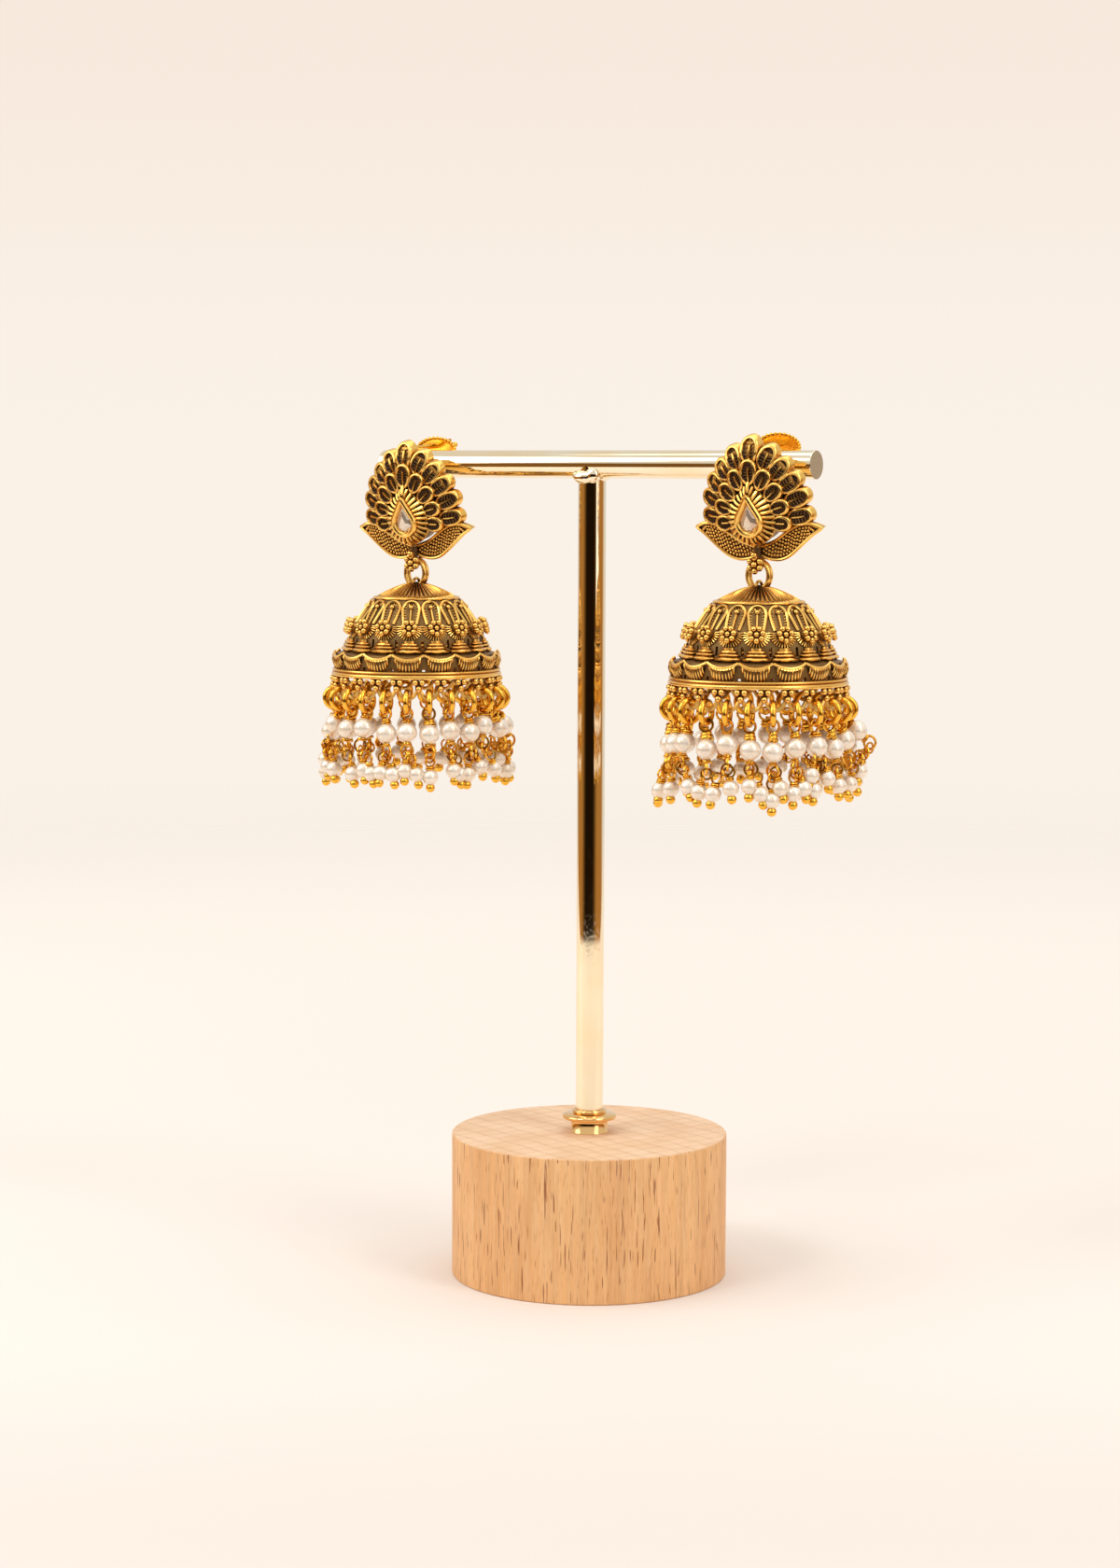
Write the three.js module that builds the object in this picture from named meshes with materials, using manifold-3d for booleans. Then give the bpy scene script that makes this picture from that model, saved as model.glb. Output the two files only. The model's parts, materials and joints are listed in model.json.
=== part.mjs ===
// A pair of bell earrings (jhumkas) hanging on a T-bar stand with a turned wooden base.
// Units are millimetres, +Z is up, the bar runs along X and the earrings face -Y.
// The origin is the centre of the base's underside.

import * as THREE from 'three';
import { mergeVertices } from 'three/addons/utils/BufferGeometryUtils.js';
import Module from 'manifold-3d';

const wasm = await Module();
wasm.setup();

// Stand
const BASE_RADIUS = 25;
const BASE_HEIGHT = 26;
const BASE_EDGE = 0.5;
const BASE_SIDES = 32;
const ROD_RADIUS = 2.5;
const ROD_SIDES = 20;
const BAR_HEIGHT = 147;
const BAR_HALF_LENGTH = 45;
const COLLAR_GAP = 0.3;
// The collar's foot, flange and neck: radius and height above the base.
const COLLAR_FOOT = { radius: 3.5, height: 2.4 };
const COLLAR_FLANGE = { radius: 5.15, height: 3.1 };
const COLLAR_NECK = { radius: 3.5, height: 3.9 };
const COLLAR_TOP = 4.6;

// Where each earring hangs. The two sit at slightly different heights over the bar.
// rosettes, trios and rings are the angles at which each row starts round its bell.
const SIDES = [
  { name: 'right', x: 35.8, drop: 0, plateDrop: 0.2, rosettes: 4.2, trios: 2.3, rings: 8.0 },
  { name: 'left', x: -35.8, drop: 0.95, plateDrop: 0.8, rosettes: 5.8, trios: 5.8, rings: 12.8 },
];
const BELL_Y = -3.3;

// Stud. It leans forward at its top; u is across, v up its face and w out of its face.
const STUD_LEAN = 12.5;
const STUD_ORIGIN = { y: -4.7, z: 138 };
const STUD_THICKNESS = 2.1;
// One row for each petal of the right half, mirrored to the left. reach is from its middle to its tip.
const OUTER_PETALS = [
  { u: 8.7, v: 0.2, angle: 5, reach: 1.9, width: 3.1 },
  { u: 8.35, v: 3.3, angle: 21, reach: 1.9, width: 3.0 },
  { u: 7.2, v: 6.0, angle: 36, reach: 1.9, width: 3.0 },
  { u: 5.5, v: 8.4, angle: 50, reach: 2.0, width: 3.0 },
  { u: 3.2, v: 10.5, angle: 66, reach: 2.1, width: 3.1 },
  { u: 0, v: 11.9, angle: 90, reach: 2.5, width: 3.2 },
];
const INNER_PETALS = [
  { u: 5.5, v: -0.7, angle: -4, reach: 1.8, width: 2.5 },
  { u: 5.4, v: 2.0, angle: 17, reach: 1.8, width: 2.6 },
  { u: 4.45, v: 4.6, angle: 42, reach: 1.8, width: 2.7 },
  { u: 2.55, v: 6.7, angle: 62, reach: 1.8, width: 2.7 },
  { u: 0, v: 8.0, angle: 90, reach: 2.2, width: 2.9 },
];
const PETAL_TIP_SHARE = 0.6;
const VALLEY_SHARE = 0.25;
const FAN_FOOT = [[7.7, -1.7], [5.0, -1.9], [3.6, -2.6]];
const INNER_FOOT = [[3.9, -2.1]];
const FAN_MIDDLE = [0, 2.2];
const FAN_SHOULDER = { share: 0.68, w: 1.2 };
const INNER_TIER = { back: 0.2, front: 1.8 };
const BORDER = { radius: 4.5, bottom: -4.3, tip: 6.4, front: 2.2 };
const BEZEL = { radius: 2.8, bottom: -3.05, tip: 4.4, front: 3.1 };
const STONE = { radius: 1.85, bottom: -2.45, tip: 3.45 };
// The stone's levels: w and the share of its outline.
const STONE_FLOOR = { w: 2.0, share: 0.75 };
const STONE_GIRDLE = { w: 2.85, share: 1 };
const STONE_TABLE = { w: 3.4, share: 0.6 };
const SETTING_GAP = 0.25;
const TEARDROP_STEPS = 9;
// The right leaf wing's outline, from its root round the lower edge to the tip and back along the upper edge.
const WING = [[0.2, -6.6], [2.2, -7.2], [4.6, -7.3], [6.9, -6.0], [9.1, -4.1], [12.1, -2.0], [10.4, -1.1],
  [8.6, -1.0], [6.9, -1.8], [5.1, -2.9], [3.4, -3.9], [1.3, -4.1], [0.0, -4.1]];
const WING_BACK = -1.5;
const WING_FRONT = 0.7;
const ROSETTE = { y: -5.2, z: 129.7, radius: 1.6, thickness: 1.1, sides: 12 };
const STUD_NECK = { y: -4.5, z: 131.6, width: 1.6, depth: 1.4, height: 2.2 };
const POST_RADIUS = 0.4;
const POST_SIDES = 8;
const POST_REST_GAP = 0.2;
const POST_SLOPE = 3;
const POST_FRONT_Y = -6.3;
const POST_TIP_Y = 10;

// Push-back clutch behind the bar
const CLUTCH = { y: 2.95, thickness: 0.5, halfWidth: 4.3, halfHeight: 2.45, sides: 14 };
const CLUTCH_CURL = { radius: 1.05, height: 2.6, sunk: 0.1, sides: 8 };
const CLUTCH_GAP = 0.3;
const CLUTCH_BORE_LENGTH = 9;

// Hanging loop, jump ring and the eye on the bell's crown
const LOOP = { z: 130.82, radius: 1.35, wire: 0.4 };
const JUMP = { z: 128.0, halfWidth: 2.0, halfHeight: 2.45, wire: 0.5, sides: 12, wireSides: 6 };
const EYE = { z: 125.55, radius: 1.15, wire: 0.3 };
const LINK_SIDES = 12;
const LINK_WIRE_SIDES = 5;
const CROWN_SLOT = { halfLength: 2.35, halfWidth: 0.85, depth: 2.8 };

// Bell: 16 repeats round it. mid is the radius on a rosette's centre line, side the radius between two.
const REPEATS = 16;
const REPEAT_COLUMNS = [{ offset: -9, part: 'side' }, { offset: 0, part: 'mid' }, { offset: 9, part: 'side' }];
const BELL_OUTSIDE = [
  { z: 123.6, mid: 7.7, side: 7.7 },
  { z: 120.0, mid: 10.5, side: 10.1 },
  { z: 117.8, mid: 13.1, side: 11.4 },
  { z: 115.7, mid: 12.7, side: 12.0 },
  { z: 113.7, mid: 13.9, side: 13.0 },
  { z: 112.6, mid: 15.5, side: 14.9 },
  { z: 110.45, mid: 15.0, side: 14.9 },
];
const BELL_INSIDE = [
  { z: 110.45, mid: 13.9, side: 13.9 },
  { z: 113.1, mid: 12.9, side: 12.9 },
  { z: 115.7, mid: 11.2, side: 11.0 },
];
const CROWN_OUTSIDE = { z: 125.4, radius: 4.2, top: 126.2 };
const CROWN_INSIDE = { z: 122.2, radius: 7.4, top: 124.0 };
// Pierced openings lie between two rows of the walls, outside and inside.
const PIERCED = [{ outside: 3, inside: 1 }, { outside: 5, inside: 0 }];

// Hoop, granule trios under it as teeth, and the rail at their feet that the fringe rings hang on
const TRIOS = 24;
const TRIO_HALF_ANGLE = 2.6;
const HOOP_OUTSIDE = [{ z: 109.8, radius: 15.5 }, { z: 109.15, radius: 15.3 }];
const HOOP_INSIDE = [{ z: 109.15, radius: 14.5 }];
const RAIL_OUTSIDE = [{ z: 106.25, radius: 15.3 }, { z: 105.65, radius: 15.3 }];
const RAIL_INSIDE = [{ z: 105.65, radius: 14.7 }, { z: 106.25, radius: 14.7 }];

// Fringe
const STRANDS = 24;
const FRINGE_RING = { radius: 15.0, z: 105.1, ringRadius: 1.875, wire: 0.475, sides: 10, wireSides: 5 };
const PEARL = { radius: 15.5, z: 98.9, size: 1.75, flat: 0.7, sides: 10, top: 103.35, foot: 94.6 };
// The small pearls and their pins as one scalloped band, two pearls to a strand.
const SMALL_PEARLS = [
  { z: 95.4, pearl: 15.7, between: 15.3 },
  { z: 92.6, pearl: 17.0, between: 15.9 },
  { z: 87.4, pearl: 15.9, between: 15.5 },
  { z: 92.6, pearl: 14.0, between: 15.0 },
];

const COLOURS = {
  wood: { color: 0xd9a066, roughness: 0.6, metalness: 0 },
  polished: { color: 0xe8d3a8, roughness: 0.15, metalness: 1 },
  antique: { color: 0xb98a3a, roughness: 0.35, metalness: 1 },
  bright: { color: 0xe0a83c, roughness: 0.25, metalness: 1 },
  pearl: { color: 0xf2e6d8, roughness: 0.25, metalness: 0 },
  stone: { color: 0xe9cfa8, roughness: 0.05, metalness: 0 },
};

const WELD = 1e-4;

const rad = (degrees) => degrees * Math.PI / 180;

// A closed geometry as a solid that can be joined and cut.
function solid(geometry) {
  const bare = geometry.clone();
  for (const name of Object.keys(bare.attributes)) {
    if (name !== 'position') bare.deleteAttribute(name);
  }
  const merged = mergeVertices(bare, WELD);
  return new wasm.Manifold(new wasm.Mesh({
    numProp: 3,
    vertProperties: new Float32Array(merged.attributes.position.array),
    triVerts: new Uint32Array(merged.index.array),
  }));
}

function geometryOf(body) {
  const mesh = body.getMesh();
  const geometry = new THREE.BufferGeometry();
  geometry.setAttribute('position', new THREE.BufferAttribute(new Float32Array(mesh.vertProperties), 3));
  geometry.setIndex(new THREE.BufferAttribute(new Uint32Array(mesh.triVerts), 1));
  geometry.computeVertexNormals();
  return geometry;
}

function joined(parts) {
  return parts.map(solid).reduce((whole, part) => whole.add(part));
}

function meshed(name, geometry, finish) {
  const mesh = new THREE.Mesh(geometry, new THREE.MeshStandardMaterial(COLOURS[finish]));
  mesh.name = name;
  return mesh;
}

// A turned form about the Z axis from [radius, height] points.
function turned(profile, sides) {
  const points = profile.map(([radius, height]) => new THREE.Vector2(radius, height));
  return new THREE.LatheGeometry(points, sides).rotateX(Math.PI / 2);
}

// A closed band from rings of equal counts, the last joined to the first.
function closedBand(rings) {
  const count = rings[0].length;
  const faces = [];
  rings.forEach((_, row) => {
    const low = ((row + 1) % rings.length) * count;
    for (let i = 0; i < count; i += 1) {
      const next = (i + 1) % count;
      faces.push(low + i, low + next, row * count + next, low + i, row * count + next, row * count + i);
    }
  });
  const geometry = new THREE.BufferGeometry();
  geometry.setAttribute('position', new THREE.Float32BufferAttribute(rings.flat(2), 3));
  geometry.setIndex(faces);
  return geometry;
}

// A flat outline in u and v, thick from back to front.
function plate(outline, back, front) {
  const shape = new THREE.Shape(outline.map(([u, v]) => new THREE.Vector2(u, v)));
  return new THREE.ExtrudeGeometry(shape, { depth: front - back, bevelEnabled: false }).translate(0, 0, back);
}

// A closed body from rings of equal counts, each a list of [x, y, z], with a flat or pointed end at both ends.
function skinned(rings) {
  const count = rings[0].length;
  const vertices = rings.flat(2);
  const faces = [];
  for (let row = 0; row + 1 < rings.length; row += 1) {
    for (let i = 0; i < count; i += 1) {
      const a = row * count + i;
      const b = row * count + (i + 1) % count;
      faces.push(a, b, b + count, a, b + count, a + count);
    }
  }
  const last = (rings.length - 1) * count;
  for (let i = 1; i + 1 < count; i += 1) {
    faces.push(0, i + 1, i, last, last + i, last + i + 1);
  }
  const geometry = new THREE.BufferGeometry();
  geometry.setAttribute('position', new THREE.Float32BufferAttribute(vertices, 3));
  geometry.setIndex(faces);
  return geometry;
}

// A teardrop with its tip up: a round of the given radius with straight sides to the tip.
function teardrop({ radius, bottom, tip }, inset = 0) {
  const r = radius - inset;
  const middle = bottom + radius;
  const reach = (tip - middle) * r / radius;
  const tangent = Math.acos(r / reach);
  const points = [[0, middle + reach]];
  for (let step = 0; step <= TEARDROP_STEPS; step += 1) {
    const angle = 2 * Math.PI - tangent - (2 * Math.PI - 2 * tangent) * step / TEARDROP_STEPS;
    points.push([r * Math.sin(angle), middle + r * Math.cos(angle)]);
  }
  return points;
}

// The scalloped outline of a row of petals: two corners at each tip and a valley point between neighbours.
function petalOutline(petals, foot) {
  const right = [...foot].reverse();
  petals.forEach(({ u, v, angle, reach, width }, index) => {
    const [cos, sin] = [Math.cos(rad(angle)), Math.sin(rad(angle))];
    const side = width * PETAL_TIP_SHARE / 2;
    const tip = [[side, -1], [side, 1]].map(([half, way]) => [
      u + reach * cos - way * half * sin, v + reach * sin + way * half * cos]);
    right.push(...(u === 0 ? tip.slice(0, 1) : tip));
    const next = petals[index + 1];
    if (next) {
      const share = reach * VALLEY_SHARE;
      right.push([(u + next.u) / 2 + share * cos, (v + next.v) / 2 + share * sin]);
    }
  });
  const left = right.map(([u, v]) => [-u, v]).reverse();
  return [...right, ...left];
}

// The fan: the petals' outline for its wall, rising from the edge to a shoulder in front.
function fan() {
  const outline = petalOutline(OUTER_PETALS, FAN_FOOT);
  const [middleU, middleV] = FAN_MIDDLE;
  const shoulder = ([u, v]) => [
    middleU + (u - middleU) * FAN_SHOULDER.share, middleV + (v - middleV) * FAN_SHOULDER.share];
  return skinned([
    outline.map(([u, v]) => [u, v, -STUD_THICKNESS]),
    outline.map(([u, v]) => [u, v, 0]),
    outline.map(shoulder).map(([u, v]) => [u, v, FAN_SHOULDER.w]),
  ]);
}

// Puts a stud form, made in u, v and w, in its leaning place.
function placeOnStud(geometry) {
  return geometry.rotateX(Math.PI / 2 + rad(STUD_LEAN)).translate(0, STUD_ORIGIN.y, STUD_ORIGIN.z);
}

// How high the ear post lies over the bar at y, in the earring's own lowered group.
function postHeight(side, y) {
  return BAR_HEIGHT + ROD_RADIUS + POST_REST_GAP + POST_RADIUS + side.drop + y * Math.tan(rad(POST_SLOPE));
}

function studBody(side) {
  const face = [fan()];
  face.push(plate(petalOutline(INNER_PETALS, INNER_FOOT), INNER_TIER.back, INNER_TIER.front));
  face.push(plate(teardrop(BORDER), -STUD_THICKNESS, BORDER.front));
  face.push(plate(teardrop(BEZEL), 0, BEZEL.front));
  face.push(plate(WING, WING_BACK, WING_FRONT));
  face.push(plate(WING.map(([u, v]) => [-u, v]).reverse(), WING_BACK, WING_FRONT));
  const seat = plate(teardrop(STONE, -SETTING_GAP), STONE_FLOOR.w - SETTING_GAP, BEZEL.front + SETTING_GAP);

  const rosette = new THREE.CylinderGeometry(ROSETTE.radius, ROSETTE.radius, ROSETTE.thickness, ROSETTE.sides);
  rosette.translate(0, ROSETTE.y + ROSETTE.thickness / 2, ROSETTE.z);
  const neck = new THREE.BoxGeometry(STUD_NECK.width, STUD_NECK.depth, STUD_NECK.height);
  neck.translate(0, STUD_NECK.y, STUD_NECK.z);
  const loop = new THREE.TorusGeometry(LOOP.radius, LOOP.wire, LINK_WIRE_SIDES, LINK_SIDES);
  loop.rotateY(Math.PI / 2).translate(0, BELL_Y, LOOP.z);

  const length = (POST_TIP_Y - POST_FRONT_Y) / Math.cos(rad(POST_SLOPE));
  const post = new THREE.CylinderGeometry(POST_RADIUS, POST_RADIUS, length, POST_SIDES);
  const middle = (POST_TIP_Y + POST_FRONT_Y) / 2;
  post.rotateX(rad(POST_SLOPE)).translate(0, middle, postHeight(side, middle));

  const casting = joined(face.map(placeOnStud)).subtract(solid(placeOnStud(seat)));
  return casting.add(joined([rosette, neck, loop, post]));
}

function stoneGeometry() {
  const outline = teardrop(STONE);
  const middle = STONE.bottom + STONE.radius;
  const ring = ({ w, share }) => outline.map(([u, v]) => [u * share, middle + (v - middle) * share, w]);
  return placeOnStud(skinned([STONE_FLOOR, STONE_GIRDLE, STONE_TABLE].map(ring)));
}

function clutchBody(side) {
  const shape = new THREE.Shape();
  shape.absellipse(0, -side.plateDrop, CLUTCH.halfWidth, CLUTCH.halfHeight, 0, 2 * Math.PI, false, 0);
  const disc = new THREE.ExtrudeGeometry(shape, {
    depth: CLUTCH.thickness, bevelEnabled: false, curveSegments: CLUTCH.sides,
  });
  const curls = [-1, 1].map((way) => {
    const { radius, height, sunk, sides } = CLUTCH_CURL;
    const curl = new THREE.CylinderGeometry(radius, radius, height, sides);
    return curl.translate(way * (POST_RADIUS + CLUTCH_GAP + radius), 0, sunk - radius);
  });
  const hole = POST_RADIUS + CLUTCH_GAP;
  const bore = new THREE.CylinderGeometry(hole, hole, CLUTCH_BORE_LENGTH, POST_SIDES).rotateX(Math.PI / 2);
  return joined([disc, ...curls]).subtract(solid(bore));
}

// The bell: one closed skin of rows and columns from the crown, down the outside to the rail and up the inside,
// with the pierced cells and the spaces between the trios left out.
function bellSkin({ rosettes, trios }) {
  const vertices = [];
  const faces = [];
  const vertex = (radius, angle, z) => vertices.push(radius * Math.cos(angle), radius * Math.sin(angle), z) / 3 - 1;
  const quad = (a, b, c, d) => faces.push(a, b, c, a, c, d);
  const columns = [];
  for (let repeat = 0; repeat < REPEATS; repeat += 1) {
    for (const { offset, part } of REPEAT_COLUMNS) {
      columns.push({ angle: rad(rosettes + repeat * 360 / REPEATS + offset), part });
    }
  }
  const teeth = [];
  const firstTooth = Math.round((REPEAT_COLUMNS[0].offset + rosettes - trios) * TRIOS / 360);
  for (let tooth = firstTooth; tooth < firstTooth + TRIOS; tooth += 1) {
    for (const way of [-1, 1]) teeth.push(rad(trios + tooth * 360 / TRIOS + way * TRIO_HALF_ANGLE));
  }
  const wallRow = (row) => columns.map(({ angle, part }) => vertex(row[part], angle, row.z));
  const toothRow = (row) => teeth.map((angle) => vertex(row.radius, angle, row.z));
  const outside = BELL_OUTSIDE.map(wallRow);
  const hoop = HOOP_OUTSIDE.map(toothRow);
  const rail = [...RAIL_OUTSIDE, ...RAIL_INSIDE].map(toothRow);
  const hoopInside = HOOP_INSIDE.map(toothRow);
  const inside = BELL_INSIDE.map(wallRow);
  const rows = [...outside, ...hoop, ...rail, ...hoopInside, ...inside];
  const count = columns.length;
  const open = new Set();
  // Cuts a cell through both walls and closes its four edges.
  const cut = (outTop, outLow, inTop, inLow, column) => {
    const next = (column + 1) % count;
    open.add(`${outTop},${column}`).add(`${inLow},${column}`);
    const corner = (row, at) => rows[row][at];
    quad(corner(outTop, next), corner(outTop, column), corner(inTop, column), corner(inTop, next));
    quad(corner(outLow, column), corner(outLow, next), corner(inLow, next), corner(inLow, column));
    quad(corner(outTop, column), corner(outLow, column), corner(inLow, column), corner(inTop, column));
    quad(corner(outLow, next), corner(outTop, next), corner(inTop, next), corner(inLow, next));
  };
  const insideStart = rows.length - inside.length;
  const each = REPEAT_COLUMNS.length;
  for (let column = each - 1; column < count; column += each) {
    for (const gap of PIERCED) {
      const low = insideStart + gap.inside;
      cut(gap.outside, gap.outside + 1, low + 1, low, column);
    }
  }
  const hoopLow = outside.length + hoop.length - 1;
  for (let column = 1; column < count; column += 2) {
    cut(hoopLow, hoopLow + 1, insideStart - 1, insideStart - 2, column);
  }
  for (let row = 0; row + 1 < rows.length; row += 1) {
    for (let column = 0; column < count; column += 1) {
      if (open.has(`${row},${column}`)) continue;
      const next = (column + 1) % count;
      quad(rows[row + 1][column], rows[row + 1][next], rows[row][next], rows[row][column]);
    }
  }
  // Closes the crown with a ring of a third of the columns and a middle point.
  const crown = ({ z, radius, top }, edge, up) => {
    const face = (a, b, c) => (up ? faces.push(a, b, c) : faces.push(a, c, b));
    const ring = columns.filter(({ part }) => part === 'mid').map(({ angle }) => vertex(radius, angle, z));
    const middle = vertex(0, 0, top);
    ring.forEach((here, index) => {
      const there = ring[(index + 1) % ring.length];
      const [left, mid, right, far] = [0, 1, 2, 3].map((step) => edge[(each * index + step) % edge.length]);
      face(here, left, mid);
      face(here, mid, right);
      face(here, right, far);
      face(here, far, there);
      face(here, there, middle);
    });
  };
  crown(CROWN_OUTSIDE, rows[0], true);
  crown(CROWN_INSIDE, rows[rows.length - 1], false);
  const geometry = new THREE.BufferGeometry();
  geometry.setAttribute('position', new THREE.Float32BufferAttribute(vertices, 3));
  geometry.setIndex(faces);
  return geometry;
}

// Turns a form made at angle 0, on +X, round to its place on the bell.
function around(geometry, phase, index, count) {
  return geometry.rotateZ(rad(phase) + 2 * Math.PI * index / count);
}

function bellBody(side) {
  const slot = new THREE.BoxGeometry(2 * CROWN_SLOT.halfLength, 2 * CROWN_SLOT.halfWidth, CROWN_SLOT.depth);
  slot.translate(0, 0, CROWN_OUTSIDE.top);
  const eye = new THREE.TorusGeometry(EYE.radius, EYE.wire, LINK_WIRE_SIDES, LINK_SIDES);
  eye.rotateY(Math.PI / 2).translate(0, 0, EYE.z);
  return solid(bellSkin(side)).subtract(solid(slot)).add(solid(eye));
}

function fringeBody(side) {
  const strands = [];
  for (let index = 0; index < STRANDS; index += 1) {
    const place = (geometry) => strands.push(around(geometry, side.rings, index, STRANDS));
    const ring = new THREE.TorusGeometry(FRINGE_RING.ringRadius, FRINGE_RING.wire, FRINGE_RING.wireSides,
      FRINGE_RING.sides);
    place(ring.rotateX(Math.PI / 2).translate(FRINGE_RING.radius, 0, FRINGE_RING.z));
    const { z, size, flat, foot, top } = PEARL;
    const pearl = turned([[0, foot], [size, z - flat], [size, z + flat], [0, top]], PEARL.sides);
    place(pearl.translate(PEARL.radius, 0, 0));
  }
  const rings = SMALL_PEARLS.map(({ z, pearl, between }) => {
    const points = [];
    for (let column = 0; column < 2 * STRANDS; column += 1) {
      const angle = rad(side.rings) + Math.PI * column / STRANDS;
      const radius = column % 2 === 0 ? pearl : between;
      points.push([radius * Math.cos(angle), radius * Math.sin(angle), z]);
    }
    return points;
  });
  return joined([closedBand(rings), ...strands]);
}

function jumpRing() {
  const ring = new THREE.TorusGeometry(JUMP.halfHeight, JUMP.wire, JUMP.wireSides, JUMP.sides);
  const position = ring.attributes.position;
  const narrow = JUMP.halfWidth / JUMP.halfHeight;
  for (let i = 0; i < position.count; i += 1) {
    const [x, y] = [position.getX(i), position.getY(i)];
    const turn = Math.atan2(y, x);
    const middle = JUMP.halfHeight * Math.cos(turn);
    position.setX(i, middle * narrow + (x - middle));
  }
  return ring.rotateX(Math.PI / 2);
}

function stand() {
  const edge = BASE_RADIUS - BASE_EDGE;
  const base = turned([[0, 0], [BASE_RADIUS, 0], [BASE_RADIUS, BASE_HEIGHT - BASE_EDGE], [edge, BASE_HEIGHT],
    [0, BASE_HEIGHT]], BASE_SIDES);
  const bore = ROD_RADIUS + COLLAR_GAP;
  const steps = [COLLAR_FOOT, COLLAR_FLANGE, COLLAR_NECK].map(({ radius, height }) => [radius, height]);
  const collar = turned([[bore, 0], [COLLAR_FOOT.radius, 0], ...steps, [bore, COLLAR_TOP], [bore, 0]], ROD_SIDES);
  collar.translate(0, 0, BASE_HEIGHT);
  const postLength = BAR_HEIGHT - BASE_HEIGHT;
  const post = new THREE.CylinderGeometry(ROD_RADIUS, ROD_RADIUS, postLength, ROD_SIDES).rotateX(Math.PI / 2);
  post.translate(0, 0, BASE_HEIGHT + postLength / 2);
  const bar = new THREE.CylinderGeometry(ROD_RADIUS, ROD_RADIUS, 2 * BAR_HALF_LENGTH, ROD_SIDES);
  bar.rotateZ(Math.PI / 2).translate(0, 0, BAR_HEIGHT);
  return [
    meshed('wood_base', base, 'wood'),
    meshed('stand_collar', collar, 'polished'),
    meshed('stand_post_bar', geometryOf(joined([post, bar])), 'polished'),
  ];
}

function earring(side) {
  const group = new THREE.Group();
  group.position.set(side.x, 0, -side.drop);
  const clutch = meshed(`push_back_${side.name}`, geometryOf(clutchBody(side)), 'bright');
  clutch.rotation.x = Math.PI / 2 + rad(POST_SLOPE);
  clutch.position.set(0, CLUTCH.y + CLUTCH.thickness, postHeight(side, CLUTCH.y));
  const ring = meshed(`jump_ring_${side.name}`, jumpRing(), 'antique');
  ring.position.set(0, BELL_Y, JUMP.z);
  const bell = meshed(`bell_${side.name}`, geometryOf(bellBody(side)), 'antique');
  bell.position.set(0, BELL_Y, 0);
  const fringe = meshed(`fringe_${side.name}`, geometryOf(fringeBody(side)), 'pearl');
  fringe.position.set(0, BELL_Y, 0);
  group.add(
    meshed(`stud_${side.name}`, geometryOf(studBody(side)), 'antique'),
    meshed(`stone_${side.name}`, stoneGeometry(), 'stone'),
    clutch,
    ring,
    bell,
    fringe,
  );
  return group;
}

const group = new THREE.Group();
group.add(...stand());
for (const side of SIDES) group.add(earring(side));
export default group;
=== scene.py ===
"""A pair of bell earrings hanging on a T-bar stand with a turned wooden base.

Pieces are modelled in millimetres, in the part's own frame, and scaled to metres when they are finished.
"""

import json
import math
import random

import bmesh
import bpy
from mathutils import Matrix, Vector


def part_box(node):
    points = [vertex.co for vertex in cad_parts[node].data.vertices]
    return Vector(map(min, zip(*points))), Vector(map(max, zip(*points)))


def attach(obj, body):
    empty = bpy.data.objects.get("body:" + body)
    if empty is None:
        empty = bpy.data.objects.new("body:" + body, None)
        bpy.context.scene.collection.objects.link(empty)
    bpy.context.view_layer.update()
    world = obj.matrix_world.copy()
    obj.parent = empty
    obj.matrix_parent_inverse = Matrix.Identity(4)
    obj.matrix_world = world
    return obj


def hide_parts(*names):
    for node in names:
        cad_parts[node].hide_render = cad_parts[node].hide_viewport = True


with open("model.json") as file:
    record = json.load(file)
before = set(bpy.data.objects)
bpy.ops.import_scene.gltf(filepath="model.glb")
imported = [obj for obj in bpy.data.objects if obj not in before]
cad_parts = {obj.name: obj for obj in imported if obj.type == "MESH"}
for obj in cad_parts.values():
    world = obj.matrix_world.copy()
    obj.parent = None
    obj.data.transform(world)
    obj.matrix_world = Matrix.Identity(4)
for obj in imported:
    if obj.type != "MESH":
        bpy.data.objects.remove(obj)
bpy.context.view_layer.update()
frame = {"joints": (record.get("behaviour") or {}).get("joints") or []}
MM = 0.001
SIDES = ("right", "left")
PIVOTS = {joint["name"]: Vector(joint["pos_m"]) / MM for joint in frame["joints"]}


# Camera, in millimetres and degrees: where it stands round the stand, and how it looks.
CAMERA_AZIMUTH = 31.233
CAMERA_DISTANCE = 580.948
CAMERA_HEIGHT = 145.994
LOOK_AZIMUTH = 31.782
LOOK_DOWN = 5.548
CAMERA_ROLL = 0.208
CAMERA_LENS = 74.25
SENSOR = 36


def add_camera():
    stand = math.radians(CAMERA_AZIMUTH)
    place = Vector((CAMERA_DISTANCE * math.sin(stand), -CAMERA_DISTANCE * math.cos(stand), CAMERA_HEIGHT))
    azimuth, down, roll = (math.radians(value) for value in (LOOK_AZIMUTH, LOOK_DOWN, CAMERA_ROLL))
    back = Vector((math.sin(azimuth) * math.cos(down), -math.cos(azimuth) * math.cos(down), math.sin(down)))
    right = Vector((math.cos(azimuth), math.sin(azimuth), 0))
    up = back.cross(right)
    rolled_right = right * math.cos(roll) + up * math.sin(roll)
    rolled_up = up * math.cos(roll) - right * math.sin(roll)
    turn = Matrix((rolled_right, rolled_up, back)).transposed()
    bpy.ops.object.camera_add(location=place * MM, rotation=turn.to_euler())
    camera = bpy.context.active_object
    camera.data.sensor_fit = "VERTICAL"
    camera.data.sensor_height = SENSOR
    camera.data.sensor_width = SENSOR
    camera.data.lens = CAMERA_LENS
    camera.data.clip_start = 0.01
    camera.data.clip_end = 20
    bpy.context.scene.camera = camera


add_camera()


# Shader maths

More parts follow.
